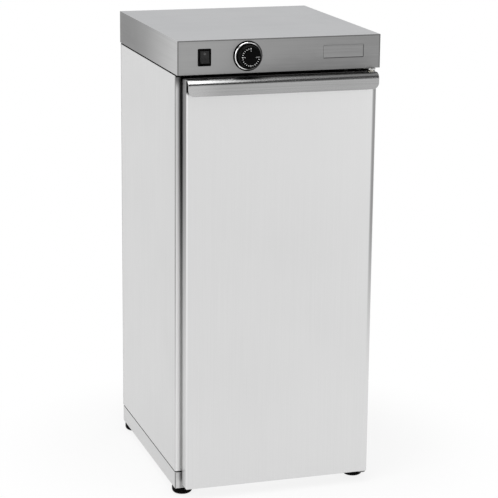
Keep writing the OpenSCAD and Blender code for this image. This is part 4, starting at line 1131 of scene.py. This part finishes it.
# %% Rocker
ROCKER_HALF, ROCKER_X, TILT, PIVOT_Y = 11.5, 8.5, math.radians(-9), 1.0
FACE_DEPTH, FACE_RISE, VALLEY = 3.4, 1.58, 0.004
HEEL_Y, BACK_Y, ROCKER_EDGE = -0.5, 4.5, 0.5
MARK_Z, MARK_R, MARK_LIFT = 6.4, (1.35, 1.35, 1.95, 1.95), (-0.05, 0.06, 0.06, -0.05)


def rocker_face(z):
    """Depth of the rocker's face: a valley whose sides rise in straight lines from a rounded middle."""
    return -FACE_DEPTH - FACE_RISE * np.sqrt((z / ROCKER_HALF) ** 2 + VALLEY)


def tilted(points):
    """Turns points about the rocker's pin and puts them in the switch."""
    y, z = points[..., 1], points[..., 2]
    return np.stack([points[..., 0], y * math.cos(TILT) - z * math.sin(TILT) + PIVOT_Y,
                     y * math.sin(TILT) + z * math.cos(TILT)], -1) + middle


z = np.linspace(ROCKER_HALF, -ROCKER_HALF, 25)
heel = [(HEEL_Y, -ROCKER_HALF), (BACK_Y, -ROCKER_HALF / 3), (BACK_Y, ROCKER_HALF / 3), (HEEL_Y, ROCKER_HALF)]
profile = np.concatenate([np.column_stack([rocker_face(z), z]), heel])
sections = np.stack([np.column_stack([np.full(len(profile), x), profile]) for x in (-ROCKER_X, ROCKER_X)])
key = skin(tilted(sections), first=True, last=True)
rocker = piece("rocker_key", [key], "rocker", "rocker_plastic", "switch_rocker", sharp=20)
round_edges(rocker, ROCKER_EDGE, segments=3, angle=30)
t = np.linspace(0, 2 * np.pi, 40, endpoint=False)
radius, lift = np.array([MARK_R, MARK_LIFT])[..., None]
ring_z = MARK_Z + radius * np.sin(t)
ring = np.stack([radius * np.cos(t), rocker_face(ring_z) - lift, ring_z], -1)
piece("rocker_mark", [skin(tilted(ring), close_rows=True)], "rocker", own_finish=grey_print)

# %% [markdown]
# ## Badge
#
# A thin blank plate is fixed to the right of the panel: a raised rim round a ground field. It is a framed
# piece whose profile goes up the plate's edge, over the rim and down to the field. A flat box would have
# no rim to catch the light.

# %% Badge
BADGE_CORNER = 1.8
low, high = span("badge_plate")
back_y, front_y = high[1], low[1]
rows = [(0, back_y), (0, back_y - 0.45), (0.15, front_y + 0.1), (0.4, front_y), (1.2, front_y),
        (1.5, front_y + 0.12), (1.8, front_y + 0.16)]
plate = framed(low[[0, 2]], high[[0, 2]], rows, BADGE_CORNER, "xz")
piece("badge_blank", [plate], "cabinet", "badge_aluminium", "badge_plate")

# %% [markdown]
# ## Feet
#
# Four levelling feet are moulded in one with their threaded studs. A foot is turned: a flat sole, a belly
# and a rounded crown under the base pan. The thread is a row of fine ridges on the stud. A true helix
# would be more work, and inside the nut nobody could tell them apart.

# %% Feet
STUD_R, SOLE_R, FOOT_TOP = 4.0, 13.0, 14.7
SOLE_LIFT, BELLY_RISE, CROWN, THREAD_DEPTH, THREAD_ROWS = 0.3, 7.4, 1.6, 0.45, 43
belly, crown = np.linspace(0, np.pi / 2, 12), np.linspace(0, np.pi / 2, 6)
for corner in ("front_left", "front_right", "rear_left", "rear_right"):
    low, high = span("foot_" + corner)
    foot_r = (high[0] - low[0]) / 2
    radius = np.concatenate([[0, SOLE_R - 0.5], SOLE_R + (foot_r - SOLE_R) * np.sin(belly),
                             foot_r - CROWN + CROWN * np.cos(crown), [STUD_R],
                             STUD_R - THREAD_DEPTH * (np.arange(THREAD_ROWS) % 2), [STUD_R - 0.8, 0]])
    height = np.concatenate([[0, 0], SOLE_LIFT + BELLY_RISE * (1 - np.cos(belly)),
                             FOOT_TOP - CROWN + CROWN * np.sin(crown), [FOOT_TOP],
                             np.linspace(FOOT_TOP + 1, high[2] - 1, THREAD_ROWS), [high[2], high[2]]])
    centre = ((low[0] + high[0]) / 2, (low[1] + high[1]) / 2, 0)
    pad = turned(radius, height, centre, "z", count=64)
    piece("foot_pad_" + corner, [pad], "leveller_" + corner, "foot_plastic", "foot_" + corner)

# %% [markdown]
# ## Wire shelves
#
# A shelf is a rod bent into a rectangle, with two cross bars and thirteen thinner wires welded on top. A
# drawn rod is a circle that goes along a flat path. A curve object with a bevel would look the same, but
# arrays give the exact points, and the ends can be closed. The wires end in small domes, so that no sharp
# end shows.

# %% Wire shelves
ROD, WIRE, SHELF_BEND, WELD, WIRES = 6.0, 3.5, 14.0, 0.6, 13


def drawn(path, z, d, sides=16, close=False):
    """Round rod along a flat path: at each point stands a circle of diameter d, square to the path."""
    path = np.asarray(path, float)
    step = np.roll(path, -1, 0) - np.roll(path, 1, 0) if close else np.gradient(path, axis=0)
    step /= np.linalg.norm(step, axis=1)[:, None]
    across = np.stack([step[:, 1], -step[:, 0], np.zeros(len(path))], 1)
    middle = np.column_stack([path, np.full(len(path), z)])
    t = np.linspace(0, 2 * np.pi, sides, endpoint=False)
    grid = (middle[:, None] + d / 2 * (np.cos(t)[None, :, None] * across[:, None]
                                       + np.sin(t)[None, :, None] * np.array([0.0, 0.0, 1.0])))
    return skin(grid, close_rows=close, first=not close, last=not close)


def straight(start, length, d, axis):
    """Rod with domed ends: the radius of a ring near an end follows a quarter circle."""
    dome = np.linspace(0, np.pi / 2, 5)
    radius, height = d / 2 * np.sin(dome), d / 4 * (1 - np.cos(dome))
    radius, height = np.append(radius, radius[::-1]), np.append(height, length - height[::-1])
    return turned(radius, height, start, axis, count=16)


for body, name in (("shelf_top", "upper_shelf"), ("shelf_low", "lower_shelf")):
    low, high = span(name)
    a, b, z = low[:2] + ROD / 2, high[:2] - ROD / 2, low[2] + ROD / 2
    wire_z = z + (ROD + WIRE) / 2 - WELD
    shapes = [drawn(outline(a, b, SHELF_BEND, corner=10, side=12), z, ROD, close=True)]
    shapes += [straight((a[0], a[1] + k * (b[1] - a[1]) / 3, z), b[0] - a[0], ROD, "x") for k in (1, 2)]
    shapes += [straight((x, low[1], wire_z), high[1] - low[1], WIRE, "y")
               for x in np.linspace(a[0] + SHELF_BEND, b[0] - SHELF_BEND, WIRES)]
    piece("wire_" + name, shapes, body, "chrome_wire", name, sharp=50)

# %% [markdown]
# ## Heating element
#
# A sheathed element lies on the chamber floor in four runs. One rod is drawn along a path of straight runs
# and half circles, and its two ends go out through fittings in the rear wall. Four rods and three half
# rings would show a seam at each joint.

# %% Heating element
REAR_TURN = 124.6


def arc(middle, radius, start, end, steps=12):
    """Points of a flat arc between two angles in degrees."""
    a = np.radians(np.linspace(start, end, steps))
    return np.asarray(middle) + radius * np.stack([np.cos(a), np.sin(a)], 1)


low, high = span("heating_element")
rod_d = high[2] - low[2]
pitch = (high[0] - low[0] - rod_d) / 3
front_turn, end_x = low[1] + rod_d / 2 + pitch / 2, 1.5 * pitch
path = np.concatenate([np.linspace((-end_x, high[1]), (-end_x, front_turn), 12)[:-1],
                       arc((-pitch, front_turn), pitch / 2, 180, 360),
                       arc((0, REAR_TURN), pitch / 2, 180, 0),
                       arc((pitch, front_turn), pitch / 2, 180, 360),
                       np.linspace((end_x, front_turn), (end_x, high[1]), 12)[1:]])
sheath = drawn(path, (low[2] + high[2]) / 2, rod_d, sides=20)
piece("element_sheath", [sheath], "cabinet", "heater_sheath", "heating_element", sharp=50)

# %% [markdown]
# ## Cable gland
#
# The mains lead goes through a plastic gland at the rear of the cover. It has a hexagon to hold with a
# spanner and a ribbed cap. A prism and a cylinder could be joined by a boolean, but one turned piece has
# no seam. Its rings aren't all round: the hexagon's radius is its flat's distance over the cosine of the
# angle from the flat, and the ribs are a small wave.

# %% Cable gland
HEX_L, HEX_TRIM, THREAD_R, GLAND_BORE, CAP_R = 6.0, 11.4, 8.0, 4.5, 9.0
RIB_R, RIB, RIB_COUNT, GLAND_STEPS = 9.75, 0.25, 24, 144
low, high = span("cable_gland")
gland = np.array([(low[0] + high[0]) / 2, cover_high[1] / MM, (low[2] + high[2]) / 2])
t = np.linspace(0, 2 * np.pi, GLAND_STEPS, endpoint=False)
hexagon = (high[2] - low[2]) / 2 / np.cos(np.mod(t - np.pi / 2, np.pi / 3) - np.pi / 6)
trimmed, ribs = np.minimum(hexagon, HEX_TRIM), RIB_R + RIB * np.cos(RIB_COUNT * t)
inside, outside = low[1] - gland[1], high[1] - gland[1]
rings = [(GLAND_BORE, inside), (THREAD_R, inside), (THREAD_R, 0.0),
         (trimmed, 0.0), (hexagon, 0.7), (hexagon, HEX_L - 0.7), (trimmed, HEX_L),
         (CAP_R, HEX_L), (CAP_R, HEX_L + 0.6), (ribs, HEX_L + 0.9), (ribs, outside - 4),
         (CAP_R, outside - 2.2), (7.6, outside - 0.6), (6.6, outside), (5.4, outside),
         (GLAND_BORE, outside - 1.0)]
radius = np.stack([np.broadcast_to(r, t.shape) for r, _ in rings])
hull = turned(radius, [h for _, h in rings], gland, "y", GLAND_STEPS, True)
piece("gland_body", [hull], "cabinet", "black_plastic", "cable_gland")

# %% [markdown]
# ## Mineral wool
#
# The walls and the door are filled with slabs of mineral wool. Nobody sees them on a closed cabinet, but a
# soft slab is not a block: its faces swell and dip, and its edges are round. A cloth simulation would
# swell them too, but nothing presses on these slabs, so a formula is enough. Two grids, front and back,
# come close at the border, where a narrow rim joins them. The thickness also has a few slow waves.

# %% Slabs of wool
CELL, FEWEST, MOST, SQUARE, EDGE_SHARE = 14, 6, 60, 14.0, 1 / 3


def slab(low, high):
    """Soft slab: half its thickness is (1 - |u|^p)^(1/p) times (1 - |v|^p)^(1/p), less a few waves.

    It is never less than a third of the full one, so that the slab has an edge."""
    low, high = np.asarray(low, float), np.asarray(high, float)
    size = high - low
    thin = int(np.argmin(size))
    long = [k for k in range(3) if k != thin]
    counts = [int(np.clip(size[k] / CELL, FEWEST, MOST)) for k in long]
    u, v = (np.sin(np.pi / 2 * np.sin(np.pi / 2 * np.linspace(-1, 1, c))) for c in counts)
    edge = ((1 - np.abs(u) ** SQUARE)[:, None] * (1 - np.abs(v) ** SQUARE)[None]) ** (1 / SQUARE)
    edge = np.maximum(edge, EDGE_SHARE)
    x, y = np.meshgrid(u * size[long[0]] / 2, v * size[long[1]] / 2, indexing="ij")
    dips = 0.96 - 0.02 * (np.sin(x / 21 + 0.7) * np.cos(y / 33) + np.sin(x / 47) * np.sin(y / 19 + 1.1))
    grids = []
    for sign in (1, -1):
        grid = np.zeros(x.shape + (3,))
        grid[..., long[0]], grid[..., long[1]] = x, y
        grid[..., thin] = sign * size[thin] / 2 * edge * dips
        grids.append(grid + (low + high) / 2)
    return shell(*grids)


def wool_piece(name, node, boxes, body="cabinet"):
    """Slabs that stand for one CAD node of mineral wool."""
    made = piece(name, [slab(*box) for box in boxes], body, "mineral_wool", node, sharp=60)


low, high = span("floor_insulation")
print("grid of the floor's slab:", [int(np.clip(s / CELL, FEWEST, MOST)) for s in (high - low)[:2]])

# %% [markdown]
# ## Lay the wool
#
# The slabs keep clear of what passes through the walls: the screws of the rear panel, the heater's two
# leads, the tube and wires in the ceiling, and the hinge bushes in the door. One slab with holes would
# need a mesh of its own, so a wall with a passage gets several slabs instead, as a fitter would cut them.

# %% Wool in the walls and the door
SCREW_CLEAR, LEAD_X, CHANNEL, BUSH_CLEAR = 9.0, 90.0, 13.0, 21.0
PASSAGE_X, PASSAGE_R, STRIP = -100.0, 6.0, 20.0

low, high = span("side_insulation")
wall_in, wall_end = span("liner_right")[1][0], high[1] - SCREW_CLEAR
wool_piece("wool_sides", "side_insulation", [((low[0], low[1], low[2]), (-wall_in, wall_end, high[2])),
                                             ((wall_in, low[1], low[2]), (high[0], wall_end, high[2]))])
low, high = span("rear_insulation")
floor_top = span("liner_floor")[1][2]
cuts = [low[0], -LEAD_X - CHANNEL, -LEAD_X + CHANNEL, LEAD_X - CHANNEL, LEAD_X + CHANNEL, high[0]]
upper = [((cuts[k], low[1], floor_top), (cuts[k + 1], high[1], high[2])) for k in (0, 2, 4)]
wool_piece("wool_rear", "rear_insulation", upper + [(low, (high[0], high[1], floor_top))])
low, high = span("ceiling_insulation")
strip_y = high[1] - STRIP
wool_piece("wool_ceiling", "ceiling_insulation",
           [(low, (high[0], strip_y, high[2])),
            ((low[0], strip_y, low[2]), (PASSAGE_X - PASSAGE_R, high[1], high[2])),
            ((PASSAGE_X + PASSAGE_R, strip_y, low[2]), high)])
wool_piece("wool_floor", "floor_insulation", [span("floor_insulation")])
low, high = span("door_insulation")
clear = np.array([0.0, 0.0, BUSH_CLEAR])
wool_piece("wool_door", "door_insulation", [(low + clear, high - clear)], "door")
